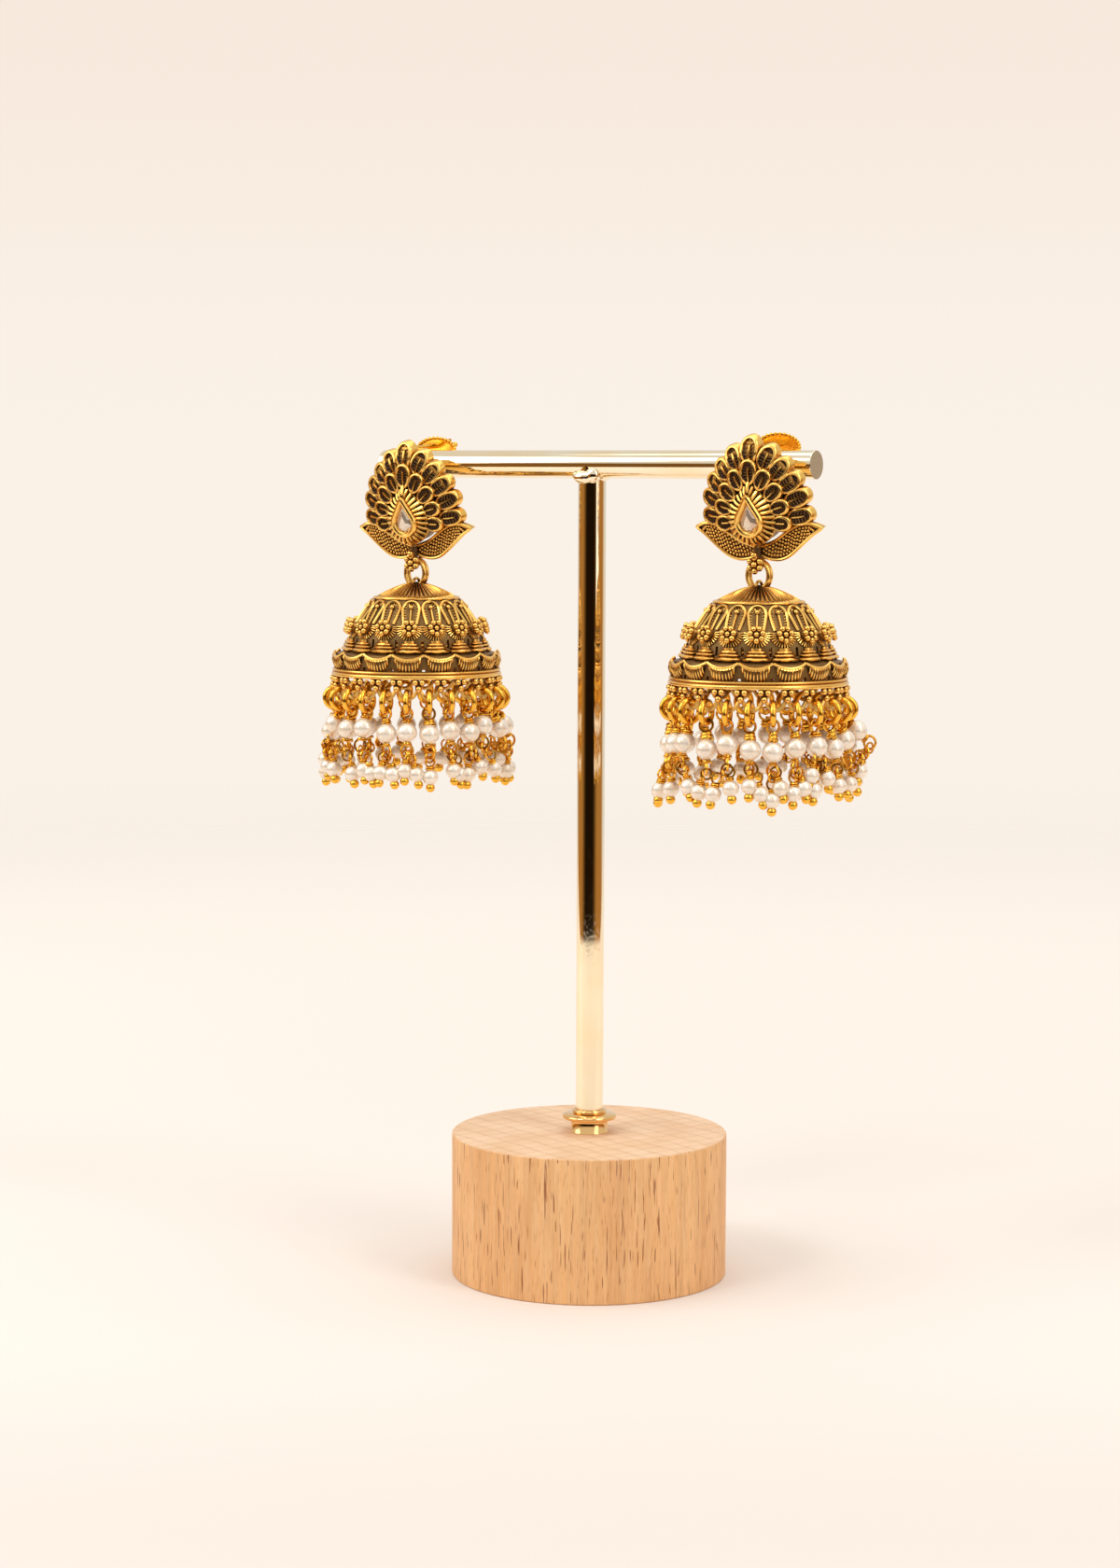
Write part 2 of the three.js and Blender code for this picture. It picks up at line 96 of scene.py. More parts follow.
class Channel:
    """One output of a shader node. Sums written on channels add Math nodes."""

    def __init__(self, shading, socket):
        self.shading = shading
        self.socket = socket

    def joined(self, operation, first, second):
        return self.shading.node("Math", {"operation": operation}, {0: first, 1: second})

    def __add__(self, other):
        return self.joined("ADD", self, other)

    def __mul__(self, other):
        return self.joined("MULTIPLY", self, other)

    def __sub__(self, other):
        return self.joined("SUBTRACT", self, other)

    def __rsub__(self, other):
        return self.joined("SUBTRACT", other, self)

    def or_more(self, other):
        return self.joined("MAXIMUM", self, other)

    def ramp(self, low, high, start=0.0, end=1.0):
        """Runs from start to end, smoothly, while this goes from low to high."""
        sockets = {"Value": self, "From Min": low, "From Max": high, "To Min": start, "To Max": end}
        return self.shading.node("MapRange", {"interpolation_type": "SMOOTHSTEP"}, sockets, "Result")


class Shading:
    """The nodes of a material or of the world, and the few ways they are added."""

    def __init__(self, tree, kind):
        self.tree = tree
        tree.nodes.clear()
        self.output = tree.nodes.new("ShaderNodeOutput" + kind)

    def fill(self, sockets, values):
        for key, value in values.items():
            if isinstance(value, Channel):
                self.tree.links.new(value.socket, sockets[key])
            else:
                sockets[key].default_value = value

    def node(self, kind, settings=None, values=None, output=0):
        made = self.tree.nodes.new("ShaderNode" + kind)
        for key, value in (settings or {}).items():
            setattr(made, key, value)
        self.fill(made.inputs, values or {})
        return Channel(self, made.outputs[output])

    def between(self, factor, first, second):
        """Mixes two colours."""
        return self.node("Mix", {"data_type": "RGBA"}, {0: factor, 6: first, 7: second}, 2)

    def along(self, spot, way):
        """How far a spot lies in a direction."""
        return self.node("VectorMath", {"operation": "DOT_PRODUCT"}, {0: spot, 1: way}, "Value")

    def show(self, factor, first, second):
        """Shows a mix of two shaders."""
        mix = self.node("MixShader", None, {0: factor, 1: first, 2: second})
        self.fill(self.output.inputs, {"Surface": mix})


class Finish(Shading):
    """A material round one Principled shader."""

    def __init__(self, name):
        self.material = bpy.data.materials.new(name)
        self.material.use_nodes = True
        super().__init__(self.material.node_tree, "Material")
        self.shader = self.tree.nodes.new("ShaderNodeBsdfPrincipled")
        self.paint = Channel(self, self.shader.outputs[0])
        self.fill(self.output.inputs, {"Surface": self.paint})

    def spot(self):
        """Where a point lies on its object, in metres."""
        return self.node("TexCoord", output="Object")

    def place(self, stretch=(1, 1, 1)):
        """The same in millimetres, stretched."""
        return self.node("Mapping", None, {"Vector": self.spot(), "Scale": [part / MM for part in stretch]})

    def open_sky(self, samples, distance):
        """1 where nothing of the object stands near over a point, less in its recesses."""
        settings = {"samples": samples, "only_local": True}
        return self.node("AmbientOcclusion", settings, {"Distance": distance * MM}, "AO")

    def noise(self, scale, detail=3.0, stretch=(1, 1, 1), roughness=0.5):
        values = {"Vector": self.place(stretch), "Scale": scale, "Detail": detail, "Roughness": roughness}
        return self.node("TexNoise", None, values, "Fac")

    def bump(self, height, strength, distance):
        values = {"Height": height, "Strength": strength, "Distance": distance}
        return self.node("Bump", None, values, "Normal")

    def surface(self, **values):
        self.fill(self.shader.inputs, {key.replace("_", " "): value for key, value in values.items()})
        return self.material


def rgb(red, green, blue):
    return (red, green, blue, 1.0)


GOLD = {
    "antique": rgb(0.84, 0.41, 0.08),
    "worn": rgb(0.98, 0.60, 0.15),
    "patina": rgb(0.040, 0.014, 0.005),
    "bright": rgb(0.96, 0.53, 0.065),
    # The deep amber that paints shade into the bright gold's recesses.
    "bright_in_painted_shade": rgb(0.66, 0.26, 0.018),
}


def antique_gold():
    """Cast gold with dark patina wherever it is recessed, and bare worn metal on what stands out."""
    finish = Finish("antique_gold")
    painted = finish.node("Attribute", {"attribute_name": "patina"}, None, "Fac")
    open_sky = finish.open_sky(8, 0.9)
    sheltered = open_sky.ramp(0.78, 0.30)
    cloud = finish.noise(0.9, 4.0)
    dark = painted.or_more(sheltered) * cloud.ramp(0.25, 0.5, 0.9, 1.0)
    grain = finish.noise(5.0, 5.0)
    gold = finish.between(open_sky.ramp(0.75, 1.0), GOLD["antique"], GOLD["worn"])
    rough = grain.ramp(0.3, 0.7, 0.17, 0.28) + dark * 0.3
    return finish.surface(
        Base_Color=finish.between(dark, gold, GOLD["patina"]),
        Metallic=1 - dark * 0.45,
        Roughness=rough,
        Normal=finish.bump(grain, 0.18, 0.06 * MM),
    )


def bright_gold():
    """Fresh yellow gold plate of the rings, wires and clutches, with painted shade that turns it deep amber
    in its recesses.
    """
    finish = Finish("bright_gold")
    open_sky = finish.open_sky(6, 0.7)
    grain = finish.noise(3.0, 3.0)
    return finish.surface(
        # Painted shade: the plate turns deep amber where other metal stands close over a point.
        Base_Color=finish.between(open_sky.ramp(0.3, 0.92), GOLD["bright_in_painted_shade"], GOLD["bright"]),
        Metallic=1.0,
        Roughness=grain.ramp(0.3, 0.7, 0.14, 0.24),
        Normal=finish.bump(grain, 0.08, 0.05 * MM),
    )


def polished_gold(name, light, deep):
    """Mirror plate of the stand, clouded between two tones."""
    finish = Finish(name)
    cloud = finish.noise(0.08, 3.0)
    specks = finish.noise(1.6, 6.0)
    return finish.surface(
        Base_Color=finish.between(cloud.ramp(0.35, 0.65), light, deep),
        Metallic=1.0,
        Roughness=specks.ramp(0.45, 0.75, 0.035, 0.09),
        Normal=finish.bump(cloud, 0.05, 0.05 * MM),
    )


def sawn_metal():
    """The bar's cut ends, rough and unpolished."""
    finish = Finish("sawn_metal")
    grit = finish.noise(6.0, 6.0, roughness=0.8)
    return finish.surface(
        Base_Color=finish.between(grit.ramp(0.35, 0.65), rgb(0.29, 0.21, 0.125), rgb(0.62, 0.50, 0.34)),
        Metallic=0.55,
        Roughness=0.62,
        Normal=finish.bump(grit, 0.6, 0.08 * MM),
    )


def pearl():
    """Cream imitation pearl: nacre that mirrors its surroundings softly, under a glossy skin."""
    finish = Finish("pearl")
    cloud = finish.noise(0.35, 3.0)
    skin = finish.noise(1.2, 4.0)
    return finish.surface(
        Base_Color=finish.between(cloud.ramp(0.3, 0.7), rgb(0.93, 0.78, 0.62), rgb(0.98, 0.88, 0.77)),
        Metallic=0.35,
        Roughness=skin.ramp(0.3, 0.7, 0.26, 0.34),
        Coat_Weight=0.9,
        Coat_Roughness=0.06,
        Coat_IOR=1.6,
        Subsurface_Weight=0.2,
        Subsurface_Scale=0.8 * MM,
        Subsurface_Radius=(1.0, 0.6, 0.4),
        Normal=finish.bump(skin, 0.05, 0.03 * MM),
    )


def paste_stone():
    """Champagne paste, silvered behind, so each facet mirrors another part of the room."""
    finish = Finish("champagne_stone")
    tint = finish.noise(0.5, 2.0)
    return finish.surface(
        Base_Color=finish.between(tint.ramp(0.3, 0.7), rgb(0.97, 0.86, 0.70), rgb(0.84, 0.60, 0.42)),
        Metallic=0.5,
        Roughness=0.06,
        IOR=1.62,
        Transmission_Weight=0.35,
        Coat_Weight=0.8,
        Coat_Roughness=0.02,
    )


def foil():
    """The foil that backs the stone."""
    finish = Finish("stone_foil")
    crumple = finish.noise(2.2, 2.0)
    return finish.surface(
        Base_Color=finish.between(crumple.ramp(0.35, 0.65), rgb(0.62, 0.40, 0.26), rgb(0.98, 0.86, 0.72)),
        Metallic=0.9,
        Roughness=0.25,
        Normal=finish.bump(crumple, 0.6, 0.2 * MM),
    )


BEECH = {
    "side": rgb(0.78, 0.40, 0.15),
    "side_light": rgb(0.88, 0.51, 0.22),
    "streak": rgb(0.60, 0.30, 0.125),
    "fibre": rgb(0.92, 0.64, 0.38),
    "fleck": rgb(0.52, 0.22, 0.075),
    "pore": rgb(0.30, 0.095, 0.028),
    "end": rgb(0.78, 0.50, 0.29),
    "end_light": rgb(0.86, 0.60, 0.39),
    "saw_mark": rgb(0.62, 0.35, 0.17),
    "dot": rgb(0.50, 0.25, 0.11),
}


def beech():
    """Sanded beech, its fibres upright, with dark pores on the side and saw marks across the top."""
    finish = Finish("beech")
    spot = finish.spot()
    facing = finish.node("NewGeometry", output="Normal")
    top = finish.node("SeparateXYZ", None, {0: facing}, "Z").ramp(0.6, 0.9)
    broad = finish.noise(0.10, 3.0, (1, 1, 0.12))
    streak = finish.noise(0.55, 4.0, (1, 1, 0.05))
    fibre = finish.noise(2.6, 3.0, (1, 1, 0.04))
    pores = finish.noise(2.9, 1.0, (1, 1, 0.06)).ramp(0.645, 0.70)
    flecks = finish.noise(5.5, 1.0, (1, 1, 0.07)).ramp(0.59, 0.68)
    side = finish.between(broad.ramp(0.3, 0.7), BEECH["side"], BEECH["side_light"])
    side = finish.between(streak.ramp(0.35, 0.7) * 0.5, side, BEECH["streak"])
    side = finish.between(fibre.ramp(0.4, 0.7) * 0.28, side, BEECH["fibre"])
    side = finish.between(flecks * 0.45, side, BEECH["fleck"])
    side = finish.between(pores * 0.9, side, BEECH["pore"])
    cloud = finish.noise(0.12, 3.0)
    dots = finish.noise(1.7, 2.0).ramp(0.62, 0.72)
    marks = saw_marks(finish, spot, 112, 80) * 0.6 + saw_marks(finish, spot, 20, 95) * 0.5
    end = finish.between(cloud.ramp(0.3, 0.7), BEECH["end"], BEECH["end_light"])
    end = finish.between(marks * 0.55, end, BEECH["saw_mark"])
    end = finish.between(dots * 0.35, end, BEECH["dot"])
    relief = fibre * 0.5 + marks * top - pores * 0.6
    return finish.surface(
        Base_Color=finish.between(top, side, end),
        Roughness=streak.ramp(0.2, 0.8, 0.50, 0.64),
        Normal=finish.bump(relief, 0.25, 0.12 * MM),
    )


def saw_marks(finish, spot, degrees, scale):
    """Thin dark lines across the wood, at an angle."""
    turned_spot = finish.node("Mapping", None, {"Vector": spot, "Rotation": (0, 0, math.radians(degrees))})
    settings = {"wave_type": "BANDS", "bands_direction": "X", "wave_profile": "SIN"}
    values = {"Vector": turned_spot, "Scale": float(scale), "Distortion": 1.2, "Detail": 2.0,
              "Detail Scale": 2.5}
    return finish.node("TexWave", settings, values, "Fac").ramp(0.8, 1.0)


FINISHES = {
    "antique_gold": antique_gold(),
    "bright_gold": bright_gold(),
    "polished_gold": polished_gold("polished_gold", rgb(0.96, 0.86, 0.66), rgb(0.97, 0.80, 0.54)),
    "collar_gold": polished_gold("collar_gold", rgb(0.94, 0.64, 0.30), rgb(0.90, 0.54, 0.20)),
    "sawn_metal": sawn_metal(),
    "pearl": pearl(),
    "champagne_stone": paste_stone(),
    "stone_foil": foil(),
    "beech": beech(),
}


# Modelling by hand

def nothing_selected():
    if bpy.context.mode != "OBJECT":
        bpy.ops.object.mode_set(mode="OBJECT")
    bpy.ops.object.select_all(action="DESELECT")


def chosen(piece):
    nothing_selected()
    piece.select_set(True)
    bpy.context.view_layer.objects.active = piece
    return piece


def edit(piece):
    chosen(piece)
    bpy.ops.object.mode_set(mode="EDIT")
    bpy.ops.mesh.select_mode(type="VERT")
    bpy.ops.mesh.select_all(action="SELECT")


def done():
    bpy.ops.object.mode_set(mode="OBJECT")
    return bpy.context.active_object


def primitive(kind, **settings):
    nothing_selected()
    getattr(bpy.ops.mesh, f"primitive_{kind}_add")(**settings)
    return bpy.context.active_object


def pick(kind, test):
    """Selects, in edit mode, the vertices, edges or faces that the test accepts."""
    bpy.ops.mesh.select_mode(type={"verts": "VERT", "edges": "EDGE", "faces": "FACE"}[kind])
    bpy.ops.mesh.select_all(action="DESELECT")
    form = bmesh.from_edit_mesh(bpy.context.edit_object.data)
    for element in getattr(form, kind):
        if test(element):
            element.select_set(True)
    form.select_flush_mode()
    bmesh.update_edit_mesh(bpy.context.edit_object.data)


def reshape(piece, rule):
    """Moves each vertex to where the rule puts it."""
    for vertex in piece.data.vertices:
        vertex.co = rule(vertex.co.copy())
    return piece


def around(angle, radius, height):
    """A point at an angle about the Z axis."""
    return Vector((radius * math.cos(angle), radius * math.sin(angle), height))
def moved(piece, matrix):
    """Puts a matrix into a piece's mesh. A matrix that mirrors also turns the faces outwards again."""
    piece.data.transform(matrix)
    if matrix.determinant() < 0:
        piece.data.flip_normals()
    return piece


def placed(piece, move=(0, 0, 0), turn=(0, 0, 0), size=(1, 1, 1)):
    """Sizes, turns (degrees about X, Y, Z) and moves a piece's mesh."""
    angles = [math.radians(part) for part in turn]
    rotation = Matrix.Rotation(angles[2], 4, "Z") @ Matrix.Rotation(angles[1], 4, "Y")
    rotation = rotation @ Matrix.Rotation(angles[0], 4, "X")
    return moved(piece, Matrix.Translation(move) @ rotation @ Matrix.Diagonal((*size, 1)))


def copied(piece, matrix=Matrix()):
    again = piece.copy()
    again.data = piece.data.copy()
    bpy.context.scene.collection.objects.link(again)
    return moved(again, matrix)


def joined(pieces):
    nothing_selected()
    for piece in pieces:
        piece.select_set(True)
    bpy.context.view_layer.objects.active = pieces[0]
    if len(pieces) > 1:
        bpy.ops.object.join()
    return bpy.context.view_layer.objects.active


def removed(*pieces):
    for piece in pieces:
        bpy.data.objects.remove(piece)


def modified(piece, kind, **settings):
    """Applies one modifier to a piece."""
    change = piece.modifiers.new(kind, kind)
    for key, value in settings.items():
        setattr(change, key, value)
    chosen(piece)
    bpy.ops.object.modifier_apply(modifier=kind)
    return piece


def ring_of(piece, count):
    """Repeats a piece round the Z axis."""
    nothing_selected()
    bpy.ops.object.empty_add(rotation=(0, 0, math.tau / count))
    step = bpy.context.active_object
    modified(piece, "ARRAY", count=count, use_relative_offset=False, use_object_offset=True,
             offset_object=step)
    removed(step)
    return piece


def solidified(piece, thickness):
    """Gives a skin its wall, behind its face."""
    return modified(piece, "SOLIDIFY", thickness=thickness, offset=-1)


def outwards():
    """Turns the faces of the closed form in edit mode outwards, and leaves edit mode."""
    bpy.ops.mesh.select_all(action="SELECT")
    bpy.ops.mesh.normals_make_consistent(inside=False)
    return done()


def turned(profile, steps):
    """Spins a line of (radius, height) points about the Z axis."""
    line = primitive("plane", size=1)
    edit(line)
    bpy.ops.mesh.merge(type="CENTER")
    bpy.ops.transform.translate(value=(profile[0][0], 0, profile[0][1]))
    for (radius, height), (last_radius, last_height) in zip(profile[1:], profile):
        step = (radius - last_radius, 0, height - last_height)
        bpy.ops.mesh.extrude_region_move(TRANSFORM_OT_translate={"value": step})
    bpy.ops.mesh.select_all(action="SELECT")
    bpy.ops.mesh.spin(steps=steps, angle=math.tau, center=(0, 0, 0), axis=(0, 0, 1))
    bpy.ops.mesh.select_all(action="SELECT")
    bpy.ops.mesh.remove_doubles(threshold=0.002)
    return outwards()


def wire(points, radius, sides=8, closed=False):
    """A round wire along points. sides is even."""
    nothing_selected()
    bpy.ops.curve.primitive_nurbs_path_add()
    curve = bpy.context.active_object
    curve.data.splines.clear()
    line = curve.data.splines.new("POLY")
    line.points.add(len(points) - 1)
    for point, spot in zip(line.points, points):
        point.co = (*spot, 1)
    line.use_cyclic_u = closed
    curve.data.bevel_depth = radius
    curve.data.bevel_resolution = (sides - 4) // 2
    curve.data.use_fill_caps = not closed
    bpy.ops.object.convert(target="MESH")
    return bpy.context.active_object


def ball(radius, spot=(0, 0, 0), segments=10, rings=6):
    return placed(primitive("uv_sphere", segments=segments, ring_count=rings, radius=radius), spot)


def cylinder(radius, height, sides, spot=(0, 0, 0), turn=(0, 0, 0)):
    return placed(primitive("cylinder", vertices=sides, radius=radius, depth=height), spot, turn)


def link(radius, thickness, segments=20, sides=6):
    """A closed wire ring in the XY plane."""
    return primitive("torus", major_radius=radius, minor_radius=thickness, major_segments=segments,
                     minor_segments=sides)


def darkened(piece, amount):
    """Paints patina on a piece: an even amount, or as much as a rule finds at each place."""
    layer = piece.data.attributes.new("patina", "FLOAT", "POINT")
    for index, vertex in enumerate(piece.data.vertices):
        layer.data[index].value = amount(vertex.co) if callable(amount) else amount
    return piece


def polished(pieces):
    """Pieces whose metal is bare of patina."""
    return [darkened(piece, 0.0) for piece in pieces]


def finished(piece, name, body, slot, stands_for=(), finishes=(), smooth=40):
    """Names a finished piece, scales it to metres, shades it and hangs it on its body."""
    piece.name = name
    piece.data.name = name
    piece.data.transform(Matrix.Scale(MM, 4))
    piece.data.materials.clear()
    for finish in finishes or [slot]:
        piece.data.materials.append(FINISHES[finish])
    chosen(piece)
    if smooth:
        bpy.ops.object.shade_smooth_by_angle(angle=math.radians(smooth))
    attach(piece, body)
    if stands_for:
        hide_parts(*stands_for)
    return piece


# Stand. Its sizes come from the frame's nodes.
BASE_LOW, BASE_HIGH = (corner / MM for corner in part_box("wood_base"))
ROD_LOW, ROD_HIGH = (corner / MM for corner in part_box("stand_post_bar"))
BASE_RADIUS = BASE_HIGH.x
BASE_TOP = BASE_HIGH.z
BASE_EDGE = 0.45
ROD_RADIUS = ROD_HIGH.y
BAR_HEIGHT = ROD_HIGH.z - ROD_RADIUS
BAR_HALF_LENGTH = ROD_HIGH.x
ROD_EDGE = 0.12
# The collar's section above the base: a foot, a rounded flange and a small neck ring, about the post's bore.
COLLAR_BORE = ROD_RADIUS + 0.05
COLLAR_PROFILE = [(COLLAR_BORE, 0.0), (3.45, 0.0), (3.45, 0.15), (3.3, 0.3), (3.3, 2.3), (4.3, 2.35),
                  (4.75, 2.5), (4.95, 2.8), (4.95, 3.0), (4.75, 3.25), (4.3, 3.4), (3.2, 3.45),
                  (3.0, 3.55), (3.15, 3.75), (3.15, 3.95), (3.0, 4.15), (2.8, 4.2), (COLLAR_BORE, 4.2),
                  (COLLAR_BORE, 0.0)]
WELD_GRAIN = 0.16
# The two weld beads and the fillets that tie the post to the bar: place and half sizes.
WELD_BEADS = [
    {"spot": (-0.5, -2.2, -2.3), "size": (2.1, 0.9, 1.2)},
    {"spot": (1.3, -1.9, -1.9), "size": (1.3, 1.1, 1.5)},
    {"spot": (-2.1, -1.2, -2.0), "size": (1.1, 1.5, 0.9)},
    {"spot": (2.3, 0.2, -2.2), "size": (0.9, 1.9, 0.8)},
    {"spot": (-0.4, 2.2, -2.2), "size": (2.2, 0.9, 1.0)},
    {"spot": (-2.4, 0.6, -2.3), "size": (0.7, 1.6, 0.8)},
]


def rounded(piece, edge, segments, profile):
    """Rounds the rims of an upright cylinder."""
    edit(piece)
    pick("edges", lambda line: abs(line.verts[0].co.z - line.verts[1].co.z) < 1e-3)
    bpy.ops.mesh.bevel(offset=edge, segments=segments, profile=profile)
    return done()


def wood_base():
    base = rounded(cylinder(BASE_RADIUS, BASE_TOP, 160, (0, 0, BASE_TOP / 2)), BASE_EDGE, 3, 0.6)
    finished(base, "turned_base", "root", "beech", ["wood_base"], smooth=15)


def collar():
    ring = turned([(radius, BASE_TOP + height) for radius, height in COLLAR_PROFILE], 96)
    finished(ring, "turned_collar", "root", "polished_gold", ["stand_collar"], ["collar_gold"], smooth=48)


def rod(length, spot, turn=(0, 0, 0)):
    return placed(rounded(cylinder(ROD_RADIUS, length, 72), ROD_EDGE, 2, 0.5), spot, turn)


def post_and_bar():
    post_length = BAR_HEIGHT - BASE_TOP
    post = rod(post_length, (0, 0, BASE_TOP + post_length / 2))
    bar = rod(2 * BAR_HALF_LENGTH, (0, 0, BAR_HEIGHT), (0, 90, 0))
    both = finished(joined([bar, post]), "post_and_bar", "root", "polished_gold", ["stand_post_bar"],
                    ["polished_gold", "sawn_metal"], smooth=15)
    end = (BAR_HALF_LENGTH - ROD_EDGE) * MM
    for face in both.data.polygons:
        face.material_index = int(abs(face.center.x) > end and abs(face.normal.x) > 0.9)


def welds():
    """Weld metal lumped round the joint of post and bar."""
    beads = []
    for bead in WELD_BEADS:
        spot = Vector(bead["spot"]) + Vector((0, 0, BAR_HEIGHT))
        beads.append(placed(ball(1.0, segments=20, rings=14), spot, size=bead["size"]))
    metal = modified(joined(beads), "REMESH", mode="VOXEL", voxel_size=WELD_GRAIN)
    modified(metal, "SMOOTH", factor=0.5, iterations=4)
    finished(metal, "weld_beads", "root", "polished_gold", smooth=80)


# Bell: heights as on the right earring, from its centre line. Angle 0 is the middle of a repeat.
REPEATS = 16
BELL_WALL = [(7.6, 123.5), (8.55, 122.3), (9.5, 121.0), (10.45, 119.6), (11.2, 118.4), (11.85, 117.2),
             (12.2, 116.2), (12.3, 115.4), (12.4, 114.6), (12.7, 113.9), (13.6, 113.55), (14.5, 113.3),
             (14.8, 112.8), (14.8, 112.0), (14.75, 111.2), (14.75, 110.45)]
WALL_THICKNESS = 0.8
WALL_STEPS = REPEATS * 9
WALL_PATINA = {"outside": 0.82, "inside": 0.7}
# The wall is pierced between the pots and below the shells' cusps, this many degrees from a repeat's middle.
PIERCED = {"aside": 9.0, "slot": (114.3, 116.4), "below": 111.2}
CAP_PROFILE = [(0.0, 126.35), (0.9, 126.3), (1.8, 126.1), (3.0, 125.75), (4.2, 125.3), (5.4, 124.75),
               (6.5, 124.2), (7.3, 123.7), (7.7, 123.4)]
CAP_RIDGES = 48
CAP_GROOVE = 0.5
# The radii between which the grooves fade, toward the eye and toward the rim.
CAP_INNER_FADE = 2.2
CAP_OUTER_FADE = (6.0, 7.6)
RIDGE = {"radius": 7.78, "z": 123.42, "wire": 0.27}
LEDGE = {"radius": 12.75, "z": 113.75, "wire": 0.16}
# The arch's foot, knee and spring: how far aside, and how high.
ARCH = {"foot": (1.2, 118.9), "knee": (1.42, 120.3), "spring": (1.55, 121.55), "rise": 1.4, "wire": 0.29,
        "stem": (118.9, 121.5), "teeth": (119.6, 120.05, 120.5, 120.95, 121.4), "granule": 0.43,
        "granule_z": 121.95}
ROSETTE = {"z": 118.35, "radius": 12.8, "granule": 0.52, "petals": 7, "spread": 1.08, "lean": 16, "ribs": 30,
           "boss": 1.1}
POT = {"radius": 12.4, "squash": 0.72, "spread": 1.28, "drop": 0.45}
POT_PROFILE = [(0.0, 116.6), (0.7, 116.5), (0.75, 116.1), (1.15, 115.98), (1.3, 115.8), (1.15, 115.62),
               (1.05, 115.55), (1.45, 115.45), (1.65, 115.25), (1.5, 115.05), (1.3, 114.98),
               (1.85, 114.85), (2.15, 114.6), (2.05, 114.35), (1.7, 114.2), (1.5, 114.12), (1.85, 113.98),
               (2.08, 113.7), (1.98, 113.4), (1.6, 113.2), (0.0, 113.1)]
# A shell hangs from a lip that dips at its middle. Its ribs fan out from the lip down to a round edge.
SHELL = {"cusp": 113.6, "dip": 0.85, "depth": 2.55, "half_angle": 11.0, "radius": 15.35, "lip": 0.24,
         "bow": 0.3, "swell": 0.25, "tuck": 0.45, "wall": 0.6, "ribs": 10, "rib": 0.17, "fan": 76,
         "foot_angle": 8.0}
HOOP_PROFILE = [(14.6, 110.6), (15.25, 110.6), (15.5, 110.45), (15.55, 110.25), (15.4, 110.08),
                (15.33, 109.98), (15.5, 109.88), (15.66, 109.68), (15.68, 109.45), (15.55, 109.22),
                (15.3, 109.12), (14.6, 109.12)]
STRANDS = 24
TRIO = {"radius": 15.35, "high": 108.62, "low": 107.5, "half_gap": 0.62, "granule": 0.575, "plate_z": 108.35}
LOOP_WIRE = 0.4
LOOP_FALL = [(0.0, 107.3), (1.6, 106.9), (3.4, 106.15), (5.6, 105.75), (7.5, 105.65)]
EYE = {"z": 125.85, "radius": 1.15, "wire": 0.28}


def wall_radius(height):
    """The bell wall's radius at a height."""
    for (upper, top), (lower, bottom) in zip(BELL_WALL, BELL_WALL[1:]):
        if height >= bottom:
            share = min(1.0, (top - height) / (top - bottom))
            return upper + (lower - upper) * share
    return BELL_WALL[-1][0]


def on_wall(across, height, lift=0.0):
    """A point on the bell's wall in the repeat at angle 0."""
    radius = wall_radius(height) + lift
    return Vector((math.sqrt(radius * radius - across * across), across, height))


def in_repeat(degrees):
    """How far an angle lies from the middle of its repeat."""
    pitch = 360 / REPEATS
    return (degrees + pitch / 2) % pitch - pitch / 2


def bell_wall():
    """The wall behind the ornament, pierced between the pots and between the shells."""
    def pierced(face):
        spot = face.calc_center_median()
        aside = abs(in_repeat(math.degrees(math.atan2(spot.y, spot.x))))
        low, high = PIERCED["slot"]
        return aside > PIERCED["aside"] and (low < spot.z < high or spot.z < PIERCED["below"])

    def tarnish(spot):
        outside = math.hypot(spot.x, spot.y) > wall_radius(spot.z) - WALL_THICKNESS / 2
        return WALL_PATINA["outside" if outside else "inside"]

    wall = turned(BELL_WALL, WALL_STEPS)
    edit(wall)
    pick("faces", pierced)
    bpy.ops.mesh.delete(type="FACE")
    done()
    return darkened(solidified(wall, WALL_THICKNESS), tarnish)


def within(value):
    """A value held between 0 and 1."""
    return min(1.0, max(0.0, value))


def valley(spot):
    """0 along a ridge of the crown, 1 along the groove between two."""
    return 0.5 - 0.5 * math.cos(CAP_RIDGES * math.atan2(spot.y, spot.x))


def cap():
    """The fluted crown: ridges that fan out from the eye to a smooth rim."""
    def fluted(spot):
        radius = math.hypot(spot.x, spot.y)
        if radius < 0.5:
            return spot
        inwards = Vector((-0.35 * spot.x / radius, -0.35 * spot.y / radius, -1.0))
        start, end = CAP_OUTER_FADE
        fade = within(radius / CAP_INNER_FADE) * within((end - radius) / (end - start))
        return spot + inwards * CAP_GROOVE * valley(spot) * fade

    def grooved(spot):
        radius = math.hypot(spot.x, spot.y)
        return valley(spot) * within(7.4 - radius) * within(radius / 2)

    return darkened(reshape(turned(CAP_PROFILE, CAP_RIDGES * 4), fluted), grooved)


def hoops():
    """The smooth ridge under the crown, the double hoop at the bell's rim, and the ledge under the pots."""
    pieces = [turned(HOOP_PROFILE + HOOP_PROFILE[:1], WALL_STEPS)]
    for band, sides in ((RIDGE, 10), (LEDGE, 6)):
        pieces.append(placed(link(band["radius"], band["wire"], WALL_STEPS, sides), (0, 0, band["z"])))
    return polished(pieces)


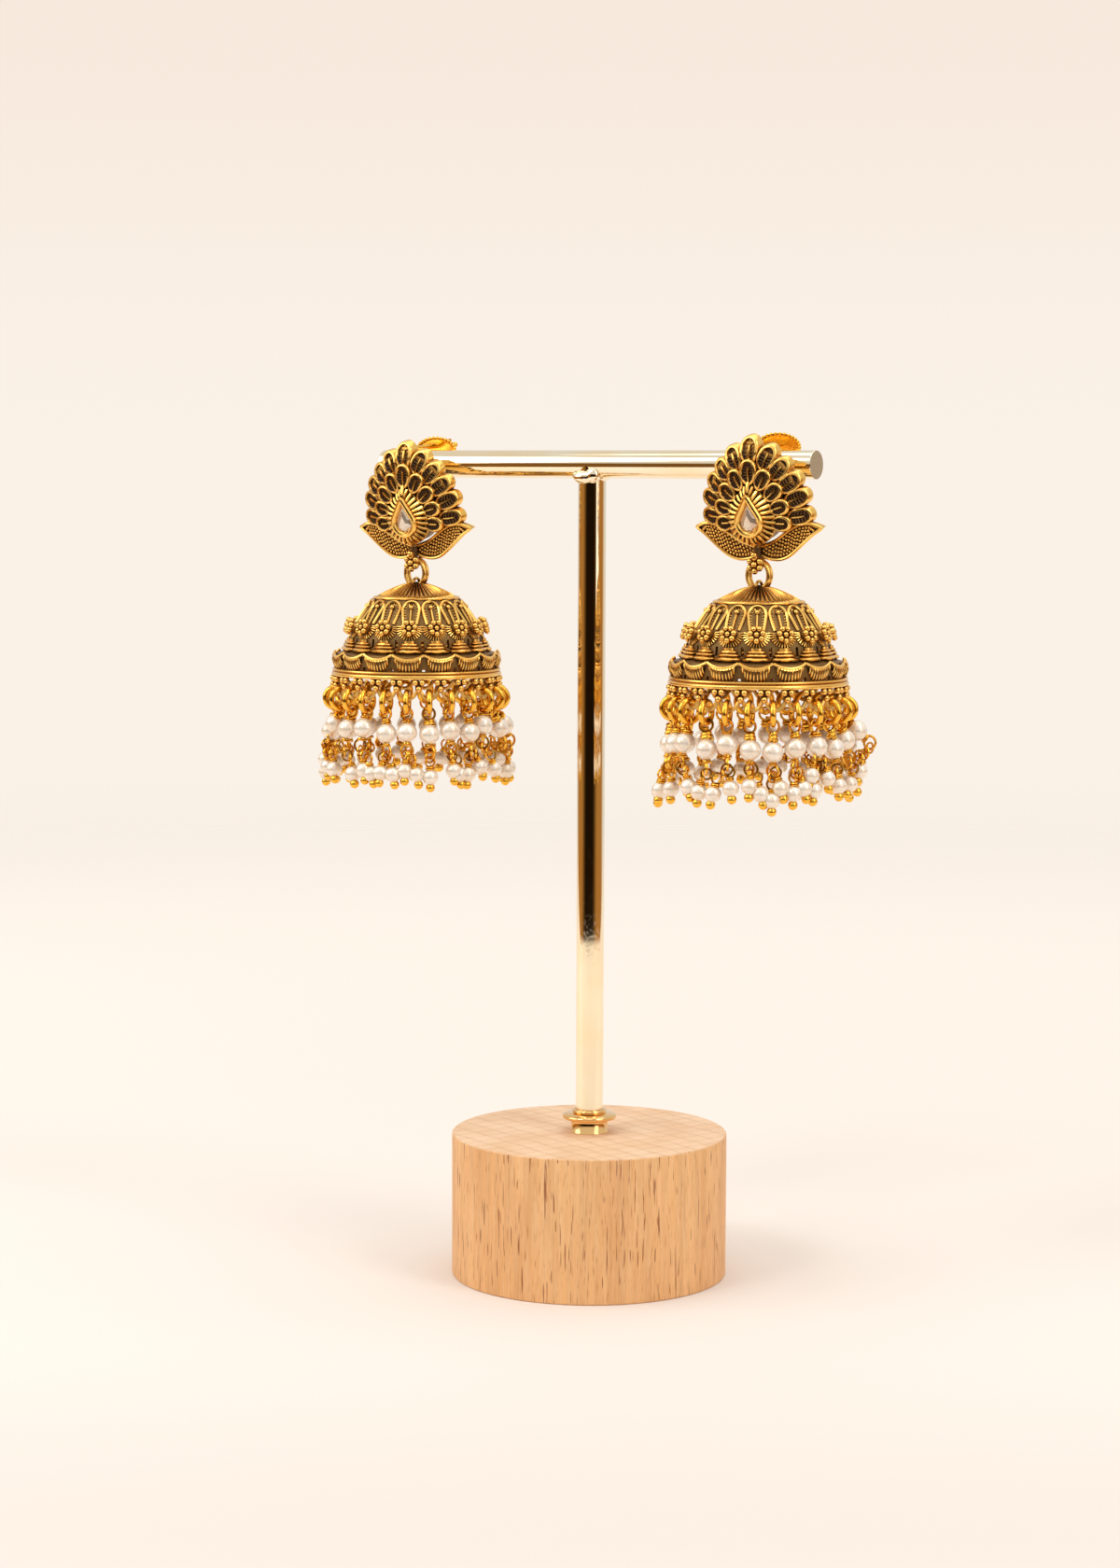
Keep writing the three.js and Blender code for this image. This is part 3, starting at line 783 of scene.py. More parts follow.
def arch():
    """A horseshoe arch with a comb of teeth inside it, a stem and its granule."""
    foot, foot_height = ARCH["foot"]
    spring, spring_height = ARCH["spring"]

    def crown(angle, lift, reach=1.0):
        height = spring_height + ARCH["rise"] * reach * math.sin(angle)
        return on_wall(spring * reach * math.cos(angle), height, lift)

    side = [ARCH["foot"], ARCH["knee"], ARCH["spring"]]
    rail = [on_wall(across, height, 0.2) for across, height in side]
    rail += [crown(math.pi * step / 12, 0.2) for step in range(1, 12)]
    rail += [on_wall(-across, height, 0.2) for across, height in reversed(side)]
    stem = [on_wall(0, height, 0.25) for height in ARCH["stem"]]
    granule = ball(ARCH["granule"], on_wall(0, ARCH["granule_z"], 0.35))
    pieces = polished([wire(rail, ARCH["wire"], 8), wire(stem, 0.2, 6), granule])
    teeth = [[crown(math.pi * step / 8, 0.1), crown(math.pi * step / 8, 0.02, 0.52)] for step in range(1, 8)]
    for height in ARCH["teeth"]:
        edge = foot + (spring - foot) * (height - foot_height) / (spring_height - foot_height)
        for way in (-1, 1):
            inner_end = on_wall(way * (edge - 0.62), height - 0.12, 0.02)
            teeth.append([on_wall(way * edge, height + 0.1, 0.1), inner_end])
    return pieces + [darkened(wire(tooth, 0.10, 4), 0.25) for tooth in teeth]


def rosette():
    """A rosette of granules on a boss, with a sunburst of ribs on the wall under and beside it."""
    centre = Vector((ROSETTE["radius"], 0, ROSETTE["z"]))
    lean = math.radians(ROSETTE["lean"])
    up = Vector((-math.sin(lean), 0, math.cos(lean)))
    out = Vector((math.cos(lean), 0, math.sin(lean)))
    pieces = [ball(ROSETTE["granule"] * 0.95, centre + out * 0.12)]
    for index in range(ROSETTE["petals"]):
        angle = math.tau * (index + 0.5) / ROSETTE["petals"]
        way = up * math.cos(angle) + Vector((0, 1, 0)) * math.sin(angle)
        pieces.append(ball(ROSETTE["granule"], centre + way * ROSETTE["spread"]))
    for index in range(ROSETTE["ribs"]):
        angle = math.tau * index / ROSETTE["ribs"]
        down = -math.cos(angle)
        if down >= -0.3:
            rib = [on_wall(reach * math.sin(angle), ROSETTE["z"] - reach * down * 0.9, lift)
                   for reach, lift in ((1.4, 0.4), (2.3 + 0.25 * down, 0.2))]
            pieces.append(wire(rib, 0.13, 6))
    boss = cylinder(ROSETTE["boss"], 1.7, 14, centre - out * 0.95, (0, 90 - ROSETTE["lean"], 0))
    return polished(pieces) + [darkened(boss, 0.55)]


def pot():
    """A stack of discs, flattened against the wall."""
    stack = turned(POT_PROFILE, 28)
    placed(stack, (POT["radius"], 0, -POT["drop"]), size=(POT["squash"], POT["spread"], 1))
    return polished([stack])


def shell_lip(share):
    """A point of the shell's lip, share running from cusp to cusp over -1 to 1."""
    height = SHELL["cusp"] - SHELL["dip"] * (1 - share * share)
    radius = SHELL["radius"] - SHELL["bow"] * share * share
    return around(math.radians(SHELL["half_angle"] * share), radius, height)


def shell_point(share, depth):
    """A point of the shell's skin: depth runs from the lip to the round lower edge."""
    lean = math.radians(SHELL["fan"] * share)
    start = shell_lip(share * 0.8)
    bottom = SHELL["cusp"] - SHELL["dip"] - SHELL["depth"] * math.cos(lean) ** 0.7
    foot_angle = math.radians(SHELL["foot_angle"] * math.sin(lean))
    swell = SHELL["swell"] * math.sin(math.pi * min(1.0, depth * 1.1)) - SHELL["tuck"] * depth ** 2
    radius = math.hypot(start.x, start.y) * (1 - depth) + (SHELL["radius"] - 0.1) * depth + swell
    angle = math.atan2(start.y, start.x) * (1 - depth) + foot_angle * depth
    return around(angle, radius, start.z + (bottom - start.z) * depth)


def shell():
    """A dark skin with a fan of bright ribs under a rolled lip."""
    skin = primitive("grid", x_subdivisions=16, y_subdivisions=5, size=2)
    reshape(skin, lambda spot: shell_point(spot.x, (1 - spot.y) / 2))
    if skin.data.polygons[len(skin.data.polygons) // 2].normal.x < 0:
        skin.data.flip_normals()
    wires = []
    for index in range(SHELL["ribs"]):
        share = 2 * index / (SHELL["ribs"] - 1) - 1
        wires.append(wire([shell_point(share, depth) for depth in (0.0, 0.35, 0.7, 0.98)], SHELL["rib"], 6))
    lip = [shell_lip(step / 10) for step in range(-10, 11)]
    under = [spot + Vector((0.02, 0, -0.36)) for spot in lip[2:-2]]
    wires += [wire(lip, SHELL["lip"], 8), wire(under, SHELL["lip"] * 0.8, 6)]
    return [darkened(solidified(skin, SHELL["wall"]), 0.9)] + polished(wires)


def trio():
    """Two granules over one, on a small backing plate."""
    spots = [(-TRIO["half_gap"], TRIO["high"]), (TRIO["half_gap"], TRIO["high"]), (0, TRIO["low"])]
    pieces = [ball(TRIO["granule"], (TRIO["radius"], across, height), 12, 8) for across, height in spots]
    backing = cylinder(1.25, 0.5, 3, (TRIO["radius"] - 0.45, 0, TRIO["plate_z"]), (0, 90, 0))
    return polished(pieces) + [darkened(backing, 0.6)]


def loop_between():
    """The cast wire that hangs from one trio to the next, for the fringe ring."""
    line = LOOP_FALL + [(360 / STRANDS - degrees, height) for degrees, height in reversed(LOOP_FALL[:-1])]
    points = [around(math.radians(degrees), TRIO["radius"] - 0.35, height) for degrees, height in line]
    return [darkened(wire(points, LOOP_WIRE, 6), 0.35)]


def cast_parts():
    """What turns with the rosettes, what turns with the granule trios, and the eye on top."""
    with_rosettes = [ring_of(joined(arch() + rosette() + pot() + shell()), REPEATS), bell_wall(), cap()]
    with_trios = ring_of(joined(trio() + loop_between()), STRANDS)
    eye = placed(link(EYE["radius"], EYE["wire"], 20, 8), (0, 0, EYE["z"]), (0, 90, 0))
    return joined(with_rosettes + hoops()), with_trios, darkened(eye, 0.2)


# Where each row of ornament starts round its bell, in degrees.
PHASES = {
    "right": {"rosettes": 4.2, "trios": 2.3, "rings": 8.0},
    "left": {"rosettes": 5.8, "trios": 5.8, "rings": 12.8},
}


def side_place(side):
    """The bell's centre line, and how far below the right earring this one hangs."""
    pivot = PIVOTS[f"swing_front_{side}"]
    return Vector((pivot.x, pivot.y, pivot.z - PIVOTS["swing_front_right"].z))


def bells():
    crown, rim, eye = cast_parts()
    for side in SIDES:
        move = Matrix.Translation(side_place(side))
        spin = {name: Matrix.Rotation(math.radians(phase), 4, "Z") for name, phase in PHASES[side].items()}
        parts = [copied(crown, move @ spin["rosettes"]), copied(rim, move @ spin["trios"]), copied(eye, move)]
        whole = joined(parts)
        finished(whole, f"bell_casting_{side}", f"bell_{side}", "antique_gold", [f"bell_{side}"], smooth=35)
    removed(crown, rim, eye)


# Stud. It is modelled facing -Y, upright, with u across on X and v up on Z, then leant forward at its top.
STUD_LEAN = 12.5
STUD_MIDDLE = Vector((0, -4.7, 138))
STUD_BACK = -2.1
STUD_PLACE = Matrix.Translation(STUD_MIDDLE) @ Matrix.Rotation(math.radians(STUD_LEAN), 4, "X")
OUTER_SLOPE = math.tan(math.radians(26))
INNER_SLOPE = math.tan(math.radians(8))
# Petals of the right half, mirrored to the left; those on the middle line stand alone.
OUTER_PETALS = [
    {"u": 8.4, "v": 0.2, "angle": 4, "length": 4.7, "width": 3.2},
    {"u": 8.1, "v": 3.3, "angle": 20, "length": 4.7, "width": 3.2},
    {"u": 7.0, "v": 5.95, "angle": 36, "length": 4.7, "width": 3.2},
    {"u": 5.3, "v": 8.3, "angle": 50, "length": 4.7, "width": 3.2},
    {"u": 3.1, "v": 10.3, "angle": 65, "length": 4.9, "width": 3.3},
    {"u": 0, "v": 11.6, "angle": 90, "length": 5.3, "width": 3.5},
]
INNER_PETALS = [
    {"u": 5.4, "v": -0.75, "angle": -4, "length": 3.9, "width": 2.9},
    {"u": 5.3, "v": 2.0, "angle": 15, "length": 3.9, "width": 2.9},
    {"u": 4.35, "v": 4.6, "angle": 40, "length": 4.0, "width": 3.0},
    {"u": 2.5, "v": 6.75, "angle": 62, "length": 4.1, "width": 3.0},
    {"u": 0, "v": 8.1, "angle": 90, "length": 4.7, "width": 3.2},
]
OUTER_W = 0.75
INNER_W = 1.75
# Steps in and up from the top of a petal's wall, over its rim and down to the floor of its bowl.
PETAL_STEPS = [(0.10, 0.17), (0.14, 0.09), (0.20, 0.0), (0.12, -0.14), (0.07, -0.24), (0.10, -0.14)]
PETAL_TEETH = 7
HUB = {"half_u": 6.0, "half_v": 5.2, "v": 3.2}
FAN = {"half_u": 8.3, "half_v": 8.2, "v": 3.9, "lowest": -1.0}
BORDER = {"radius": 4.5, "bottom": -4.5, "tip": 6.4}
BEZEL = {"radius": 2.25, "bottom": -2.55, "tip": 4.1}
BEZEL_WIRE = 0.55
BEZEL_W = 2.75
STONE = {"radius": 1.85, "bottom": -2.3, "tip": 3.6}
STONE_CORNERS = 12
STONE_W = 2.55
# The stone's levels, from its back: share of its outline, part of the way on to the next corner, and height.
STONE_LEVELS = [(0.66, 0.0, -0.30), (1.0, 0.0, 0.0), (0.99, 0.0, 0.06), (0.70, 0.5, 0.50), (0.36, 0.0, 0.72)]
BORDER_RIBS = 28
BORDER_RIB = 0.31
# How far in front each rib of the border lies: at the bezel, half way, and at the edge.
BORDER_RIB_W = (2.35, 2.2, 1.55)
BORDER_EDGE_W = 1.15
# The right leaf's lower and upper edges, from its root out to its tip, in u and v.
LEAF_LOWER = [(0.0, -6.3), (1.1, -6.95), (2.4, -7.3), (4.0, -7.35), (5.6, -6.85), (7.2, -5.75),
              (9.1, -4.15), (10.6, -2.95), (12.2, -1.95)]
LEAF_UPPER = [(0.0, -5.3), (1.3, -4.85), (3.3, -4.15), (5.1, -3.0), (6.9, -1.85), (8.6, -1.15),
              (10.2, -1.1), (11.3, -1.5), (12.2, -1.95)]
LEAF_BACK = -1.5
LEAF_FACE = 0.05
LEAF_RIM = 0.31
# The tip bends back beyond this u, by this much at twice as far.
LEAF_BEND_FROM = 6.0
LEAF_BEND = 0.75
LEAF_GRAIN = 0.285
LEAF_COLUMNS = 17
LEAF_MARGIN = 0.75
FLOWER = {"y": -4.9, "z": 129.85, "spread": 1.12, "granule": 0.58}
TOP_GRANULE = Vector((0, -5.3, 131.5))
NECK = {"y": -4.0, "z": 131.4, "radius": 0.7, "height": 2.6}
LOOP = {"z": 130.82, "radius": 1.35, "wire": 0.4}
POST = {"radius": 0.4, "front": -6.3, "tip": 9.6, "slope": 3, "rest": 0.2, "knob": 0.52, "groove_y": 7.9}


def smoothed(points, parts=5):
    """Runs a smooth curve through a few points of (u, v)."""
    def eased(before, first, last, after, t):
        bend = 2 * before - 5 * first + 4 * last - after
        twist = 3 * first - before - 3 * last + after
        return 0.5 * (2 * first + (last - before) * t + bend * t * t + twist * t ** 3)

    ends = [points[0], *points, points[-1]]
    line = []
    for corners in zip(ends, ends[1:], ends[2:], ends[3:]):
        for step in range(parts):
            line.append(tuple(eased(*values, step / parts) for values in zip(*corners)))
    return line + [points[-1]]


def plate(outline, back, front):
    """A flat solid from a closed outline of (u, v), between two levels of w."""
    form = primitive("circle", vertices=len(outline), radius=1, fill_type="NGON")
    for vertex, (u, v) in zip(form.data.vertices, outline):
        vertex.co = (u, -back, v)
    edit(form)
    bpy.ops.mesh.extrude_region_move(TRANSFORM_OT_translate={"value": (0, back - front, 0)})
    return outwards()


def petal(length, width, level, slope):
    """A cast petal: a wall, a rounded rim, and a dark bowl with a comb of teeth and a bright middle rib."""
    height = level - STUD_BACK - 0.28
    floor_level = height - 0.26
    reach = length / 2 - 0.62

    def bowl(spot):
        inside = (2 * spot.x / length) ** 2 + (2 * spot.y / width) ** 2 < 0.5
        return 1.0 if inside and spot.z > height / 2 else 0.0

    def sloped(spot):
        return spot - Vector((0, 0, slope * max(spot.x, -0.3))) if spot.z > 0.01 else spot

    dish = primitive("circle", vertices=36, radius=1, fill_type="NGON")
    reshape(dish, lambda spot: Vector((spot.x * length / 2, spot.y * width / 2 * (1 + 0.16 * spot.x), 0)))
    edit(dish)
    bpy.ops.mesh.extrude_region_move(TRANSFORM_OT_translate={"value": (0, 0, height)})
    for inset, rise in PETAL_STEPS:
        bpy.ops.mesh.inset(thickness=inset, depth=rise)
    pieces = [darkened(outwards(), bowl)]
    for index in range(PETAL_TEETH):
        along = -reach + 2 * reach * (index + 0.3) / PETAL_TEETH
        half = (width / 2 - 0.52) * math.sqrt(max(0.1, 1 - (along / (reach + 0.35)) ** 2))
        for way in (-1, 1):
            tooth = [(along, way * 0.14, floor_level + 0.06), (along + 0.22, way * half, floor_level + 0.12)]
            pieces.append(darkened(wire(tooth, 0.07, 4), 0.82))
    ridge = ((-1.02, 0.12), (0.0, 0.2), (0.5, 0.1))
    rib = [(share * reach, 0, floor_level + rise) for share, rise in ridge]
    pieces.append(darkened(wire(rib, 0.21, 6), 0.0))
    return reshape(joined(pieces), sloped)


def petal_place(u, v, angle):
    """Turns a petal from its own frame, along X and facing Z, to its place on the stud."""
    cos, sin = math.cos(math.radians(angle)), math.sin(math.radians(angle))
    turn = Matrix(((cos, -sin, 0), (0, 0, -1), (sin, cos, 0))).to_4x4()
    return Matrix.Translation((u, -STUD_BACK, v)) @ turn


def petals():
    pieces = []
    for rows, level, slope in ((OUTER_PETALS, OUTER_W, OUTER_SLOPE), (INNER_PETALS, INNER_W, INNER_SLOPE)):
        for row in rows:
            model = petal(row["length"], row["width"], level, slope)
            pieces.append(copied(model, petal_place(row["u"], row["v"], row["angle"])))
            if row["u"]:
                pieces.append(copied(model, petal_place(-row["u"], row["v"], 180 - row["angle"])))
            removed(model)
    return pieces


def teardrop(form, grow=0.0, steps=48):
    """A teardrop outline in u and v, tip up, with even steps: straight sides that meet a round bottom."""
    radius = form["radius"] + grow
    middle_v = form["bottom"] + form["radius"]
    reach = (form["tip"] - middle_v) * radius / form["radius"]
    tangent = math.acos(radius / reach)
    straight = math.sqrt(reach * reach - radius * radius)
    total = 2 * straight + radius * (math.tau - 2 * tangent)
    points = []
    for step in range(steps):
        way = total * step / steps
        from_tip = min(way, total - way)
        share = min(1.0, from_tip / straight)
        angle = tangent + max(0.0, from_tip - straight) / radius
        side = 1 if way < total / 2 else -1
        v = middle_v + reach * (1 - share) + radius * math.cos(angle) * share
        points.append((side * radius * math.sin(angle) * share, v))
    return points


def oval(form, steps):
    """An oval outline in u and v."""
    circle = [around(math.tau * step / steps, 1, 0) for step in range(steps)]
    return [(form["half_u"] * spot.x, form["v"] + form["half_v"] * spot.y) for spot in circle]


def setting():
    """The fluted teardrop border, the smooth bezel, and the hub and fan under the petals."""
    def deepened(spot):
        return spot + Vector((0, 3 * max(0.0, spot.y + BEZEL_W), 0))

    pieces = [darkened(plate(teardrop(BORDER, -0.1), STUD_BACK, 1.5), 0.75)]
    inner, outer = teardrop(BEZEL, 0.35, BORDER_RIBS), teardrop(BORDER, 0.0, BORDER_RIBS)
    for (u, v), (far_u, far_v) in zip(inner, outer):
        across = [(u, v), ((u + far_u) / 2, (v + far_v) / 2), (far_u, far_v)]
        rib = [(rib_u, -w, rib_v) for (rib_u, rib_v), w in zip(across, BORDER_RIB_W)]
        pieces.append(darkened(wire(rib, BORDER_RIB, 6), 0.0))
    edge = wire([(u, -BORDER_EDGE_W, v) for u, v in teardrop(BORDER, -0.02, 60)], 0.2, 6, closed=True)
    bezel = wire([(u, -BEZEL_W, v) for u, v in teardrop(BEZEL, 0.0, 72)], BEZEL_WIRE, 10, closed=True)
    hub = plate(oval(HUB, 40), STUD_BACK, 0.9)
    fan = plate([(u, max(v, FAN["lowest"])) for u, v in oval(FAN, 48)], STUD_BACK + 0.05, -0.1)
    pieces += [darkened(edge, 0.1), darkened(reshape(bezel, deepened), 0.0)]
    return pieces + [darkened(hub, 0.95), darkened(fan, 0.45)]


def leaf():
    """A leaf wing: a smooth rim round a field of granulation, its tip bent back."""
    def bent(spot):
        past = max(0.0, spot.x - LEAF_BEND_FROM) / LEAF_BEND_FROM
        return spot + Vector((0, LEAF_BEND * past * past, 0))

    outline = smoothed(LEAF_LOWER) + smoothed(LEAF_UPPER[::-1])[1:]
    rim = wire([(u, -LEAF_FACE - 0.15, v) for u, v in outline], LEAF_RIM, 8, closed=True)
    field = plate(outline, LEAF_BACK, LEAF_FACE)
    pieces = [darkened(field, lambda spot: 0.75 if spot.y < 0 else 0.2), darkened(rim, 0.0)]
    grain = darkened(primitive("ico_sphere", subdivisions=2, radius=LEAF_GRAIN), 0.0)
    last = len(LEAF_LOWER) - 1
    for column in range(LEAF_COLUMNS):
        along = last * (0.10 + 0.80 * column / LEAF_COLUMNS)
        index, share = int(along), along % 1
        low, high = (Vector(edge[index]).lerp(Vector(edge[index + 1]), share)
                     for edge in (LEAF_LOWER, LEAF_UPPER))
        across = high - low
        count = int((across.length - LEAF_MARGIN) / (2 * LEAF_GRAIN + 0.02))
        margin = LEAF_MARGIN / across.length
        for step in range(count):
            spot = low + across * ((step + 0.5) / count * (1 - margin) + margin / 2)
            pieces.append(copied(grain, Matrix.Translation((spot.x, -LEAF_FACE - 0.02, spot.y))))
    removed(grain)
    return reshape(joined(pieces), bent)


def flower():
    """The seven-granule flower under the stud, the granule over it, and the loop behind."""
    centre = Vector((0, FLOWER["y"], FLOWER["z"]))
    spots = [centre + Vector((0, -0.25, 0)), TOP_GRANULE]
    for index in range(6):
        angle = math.tau * (index + 0.5) / 6
        spots.append(centre + Vector((math.cos(angle), 0, math.sin(angle))) * FLOWER["spread"])
    pieces = polished([ball(FLOWER["granule"], spot, 14, 9) for spot in spots])
    boss = cylinder(1.25, 1.0, 20, centre + Vector((0, 0.45, 0)), (90, 0, 0))
    neck = cylinder(NECK["radius"], NECK["height"], 16, (0, NECK["y"], NECK["z"]))
    loop = link(LOOP["radius"], LOOP["wire"], 26, 8)
    placed(loop, (0, PIVOTS["swing_side_right"].y, LOOP["z"]), (0, 90, 0))
    return pieces + [darkened(boss, 0.7), darkened(neck, 0.9), darkened(loop, 0.2)]


def post_height(y):
    """How high the ear post lies over the bar."""
    over = BAR_HEIGHT + ROD_RADIUS + POST["rest"] + POST["radius"]
    return over + y * math.tan(math.radians(POST["slope"]))


def on_post(y):
    return Vector((0, y, post_height(y)))


def ear_post():
    length = (POST["tip"] - POST["front"]) / math.cos(math.radians(POST["slope"]))
    middle = on_post((POST["tip"] + POST["front"]) / 2)
    shaft = cylinder(POST["radius"], length, 16, middle, (POST["slope"] - 90, 0, 0))
    knob = ball(POST["knob"], on_post(POST["tip"]) - Vector((0, 0.1, 0)), 14, 9)
    groove = placed(link(0.42, 0.1, 16, 6), on_post(POST["groove_y"]), (90, 0, 0))
    return joined([shaft, knob, groove])


def over_bar(side):
    """Carries a stud from the bar's middle to its own side."""
    place = side_place(side)
    return Matrix.Translation((place.x, 0, place.z))


def studs():
    right_leaf = leaf()
    left_leaf = copied(right_leaf, Matrix.Diagonal((-1, 1, 1, 1)))
    face = moved(joined(petals() + setting() + [right_leaf, left_leaf]), STUD_PLACE)
    casting = joined([face] + flower())
    post = ear_post()
    for side in SIDES:
        stud = copied(casting, over_bar(side))
        finished(stud, f"stud_casting_{side}", "root", "antique_gold", [f"stud_{side}"], smooth=35)
        pin = copied(post, Matrix.Translation((side_place(side).x, 0, 0)))
        finished(pin, f"ear_post_{side}", "root", "antique_gold", finishes=["bright_gold"])
    removed(casting, post)


def stone_ring(share, onward, height):
    """The stone's corners at one of its levels."""
    outline = teardrop(STONE, 0.0, STONE_CORNERS)
    middle_v = STONE["bottom"] + STONE["radius"]
    ring = []
    for (u, v), (next_u, next_v) in zip(outline, outline[1:] + outline[:1]):
        corner_u, corner_v = u + (next_u - u) * onward, v + (next_v - v) * onward
        ring.append(Vector((corner_u * share, -STONE_W - height, middle_v + (corner_v - middle_v) * share)))
    return ring


def stones():
    """A faceted pear stone over its foil."""
    gem = primitive("circle", vertices=STONE_CORNERS, radius=1, fill_type="NGON")
    for vertex, spot in zip(gem.data.vertices, stone_ring(*STONE_LEVELS[0])):
        vertex.co = spot
    edit(gem)
    for level in STONE_LEVELS[1:]:
        bpy.ops.mesh.extrude_region_move(TRANSFORM_OT_translate={"value": (0, 0, 0)})
        form = bmesh.from_edit_mesh(gem.data)
        top = [vertex for vertex in form.verts if vertex.select]
        for vertex, spot in zip(top, stone_ring(*level)):
            vertex.co = spot
        bmesh.update_edit_mesh(gem.data)
    bpy.ops.mesh.select_all(action="SELECT")
    bpy.ops.mesh.quads_convert_to_tris(quad_method="BEAUTY")
    outwards()
    backing = plate(teardrop(STONE, 0.12), 1.6, 2.0)
    for side in SIDES:
        move = over_bar(side) @ STUD_PLACE
        stone, foil_piece = copied(gem, move), copied(backing, move)
        finished(stone, f"pear_stone_{side}", "root", "champagne_stone", [f"stone_{side}"], smooth=0)
        finished(foil_piece, f"foil_{side}", "root", "champagne_stone", finishes=["stone_foil"], smooth=0)
    removed(gem, backing)


# Clutch behind the bar
CLUTCH = {"y": 3.2, "half_width": 4.35, "half_height": 2.45, "bead": 0.3, "beads": 30, "curl": 1.05,
          "curl_length": 2.6, "curl_wall": 0.22, "curl_across": 1.35, "curl_behind": 0.25}
# The plate's section: share of its half width, and depth behind its face.
CLUTCH_PROFILE = [(0.0, 0.12), (0.5, 0.06), (0.8, -0.06), (0.93, -0.16), (1.0, -0.1), (1.0, 0.2),
                  (0.93, 0.28), (0.0, 0.32)]
PLATE_DROPS = {"right": 0.2, "left": 0.8}


def clutches():
    """A dished oval plate with a beaded rim, and the two curls that grip the post."""
    half_width, half_height = CLUTCH["half_width"], CLUTCH["half_height"]

    def open_side(face):
        spot = face.calc_center_median()
        return -0.2 < spot.x < 0.9 and spot.y > 0

    for side in SIDES:
        drop = PLATE_DROPS[side]
        disc = turned(CLUTCH_PROFILE, 56)
        pieces = [placed(disc, (0, 0, -drop), (-90, 0, 0), (half_width, half_height, 1))]
        for index in range(CLUTCH["beads"]):
            angle = math.tau * index / CLUTCH["beads"]
            across, up = (half_width - 0.1) * math.cos(angle), (half_height - 0.1) * math.sin(angle)
            pieces.append(ball(CLUTCH["bead"], (across, -0.1, up - drop), 8, 6))
        for way in (-1, 1):
            tube = primitive("cylinder", vertices=32, radius=CLUTCH["curl"], depth=CLUTCH["curl_length"],
                             end_fill_type="NOTHING")
            edit(tube)
            pick("faces", open_side)
            bpy.ops.mesh.delete(type="FACE")
            done()
            spot = (way * CLUTCH["curl_across"], CLUTCH["curl"] + CLUTCH["curl_behind"], 0)
            pieces.append(placed(solidified(tube, CLUTCH["curl_wall"]), spot, size=(-way, 1, 1)))
        spot = on_post(CLUTCH["y"]) + Vector((side_place(side).x, 0, 0))
        whole = placed(joined(pieces), spot, (POST["slope"], 0, 0))
        finished(whole, f"clutch_{side}", "root", "bright_gold", [f"push_back_{side}"])


# Jump ring between the stud's loop and the bell's eye
JUMP = {"z": 128.0, "half_width": 2.05, "half_height": 2.45, "wire": 0.4, "turns_apart": 0.86}


def jump_rings():
    def stretched(spot):
        angle = math.atan2(spot.y, spot.x)
        core = Vector((math.cos(angle), math.sin(angle), 0))
        return spot - core + Vector((core.x * JUMP["half_width"], core.y * JUMP["half_height"], 0))

    half = JUMP["turns_apart"] / 2
    turn = reshape(link(1.0, JUMP["wire"], 44, 12), stretched)
    model = joined([placed(copied(turn), (0, 0, half)), placed(turn, (0, 0, -half))])
    for side in SIDES:
        ring = placed(copied(model), side_place(side) + Vector((0, 0, JUMP["z"])), (90, 0, 0))
        finished(ring, f"hanging_ring_{side}", f"link_{side}", "antique_gold", [f"jump_ring_{side}"])
    removed(model)


# Fringe: 24 strands, each a ring, a pearl on a wrapped pin and two small pearls on ball pins.
FRINGE_RING = {"radius": 15.0, "z": 105.1, "size": 1.88, "wire": 0.52}
PEARL = {"radius": 15.55, "z": 98.95, "size": 1.83}
DROP = {"radius": 16.2, "size": 1.45, "tip": 0.84}
# Two rows of small pearls at the back, which the photograph doesn't show: radius and height.
HIDDEN_DROPS = [(14.6, 92.9), (16.6, 91.4)]
# Where the photograph shows the front pearls and small pearls of each fringe, in its pixels.
PHOTO_SIZE = (1200, 1680)
SEEN_PEARLS = {
    "right": [(714, 797), (724, 796), (734, 796), (757, 803), (779, 798), (804, 804), (828, 806),
              (852, 802), (875, 800), (893, 802), (905, 793), (918, 783)],
    "left": [(359, 775), (373, 781), (390, 780), (414, 786), (436, 785), (460, 787), (482, 783),
             (503, 785), (517, 777), (534, 780), (540, 777)],
}
SEEN_DROPS = {
    "right": [(707, 849), (719, 845), (738, 843), (749, 849), (764, 851), (783, 845), (803, 843),
              (815, 851), (827, 858), (836, 845), (850, 851), (861, 845), (869, 831), (872, 847),
              (886, 834), (898, 842), (910, 840), (921, 826)],
    "left": [(349, 813), (358, 824), (378, 829), (390, 825), (398, 829), (408, 828), (421, 830),
             (434, 826), (446, 830), (461, 833), (486, 826), (492, 830), (501, 830), (514, 822),
             (529, 824), (542, 826)],
}
CHANCE = random.Random(7)
UP = Vector((0, 0, 1))
# The coil of wire under and over a pearl: how many turns, and the steps in each.
COIL_TURNS = 2.25
COIL_STEPS = 9
EYE_LINK = (1.12, 0.24)
SMALL_EYE_LINK = (0.92, 0.2)
COIL_WIRE = 0.19
COIL_HEIGHT = 0.95
# How far things on a strand hang from one another, and how wide a gap gets one more eye, or a pin too.
HANG = {"ring_to_eye": 0.25, "eye_to_coil": 0.9, "low_coil": 0.62, "low_eye": 1.5, "small_eye": 0.95,
        "foot": 1.2, "drop_to_eye": 1.45, "drop_to_tip": 0.42, "eye_gap": 1.1, "pin_gap": 2.4}


def camera_ray(pixel):
    """Where the camera stands and which way a pixel of the photograph lies from it."""
    camera = bpy.context.scene.camera
    length = CAMERA_LENS / SENSOR * PHOTO_SIZE[1]
    across, down = pixel[0] - PHOTO_SIZE[0] / 2, pixel[1] - PHOTO_SIZE[1] / 2
    way = camera.matrix_world.to_3x3() @ Vector((across, -down, -length))
    return camera.location / MM, way.normalized()


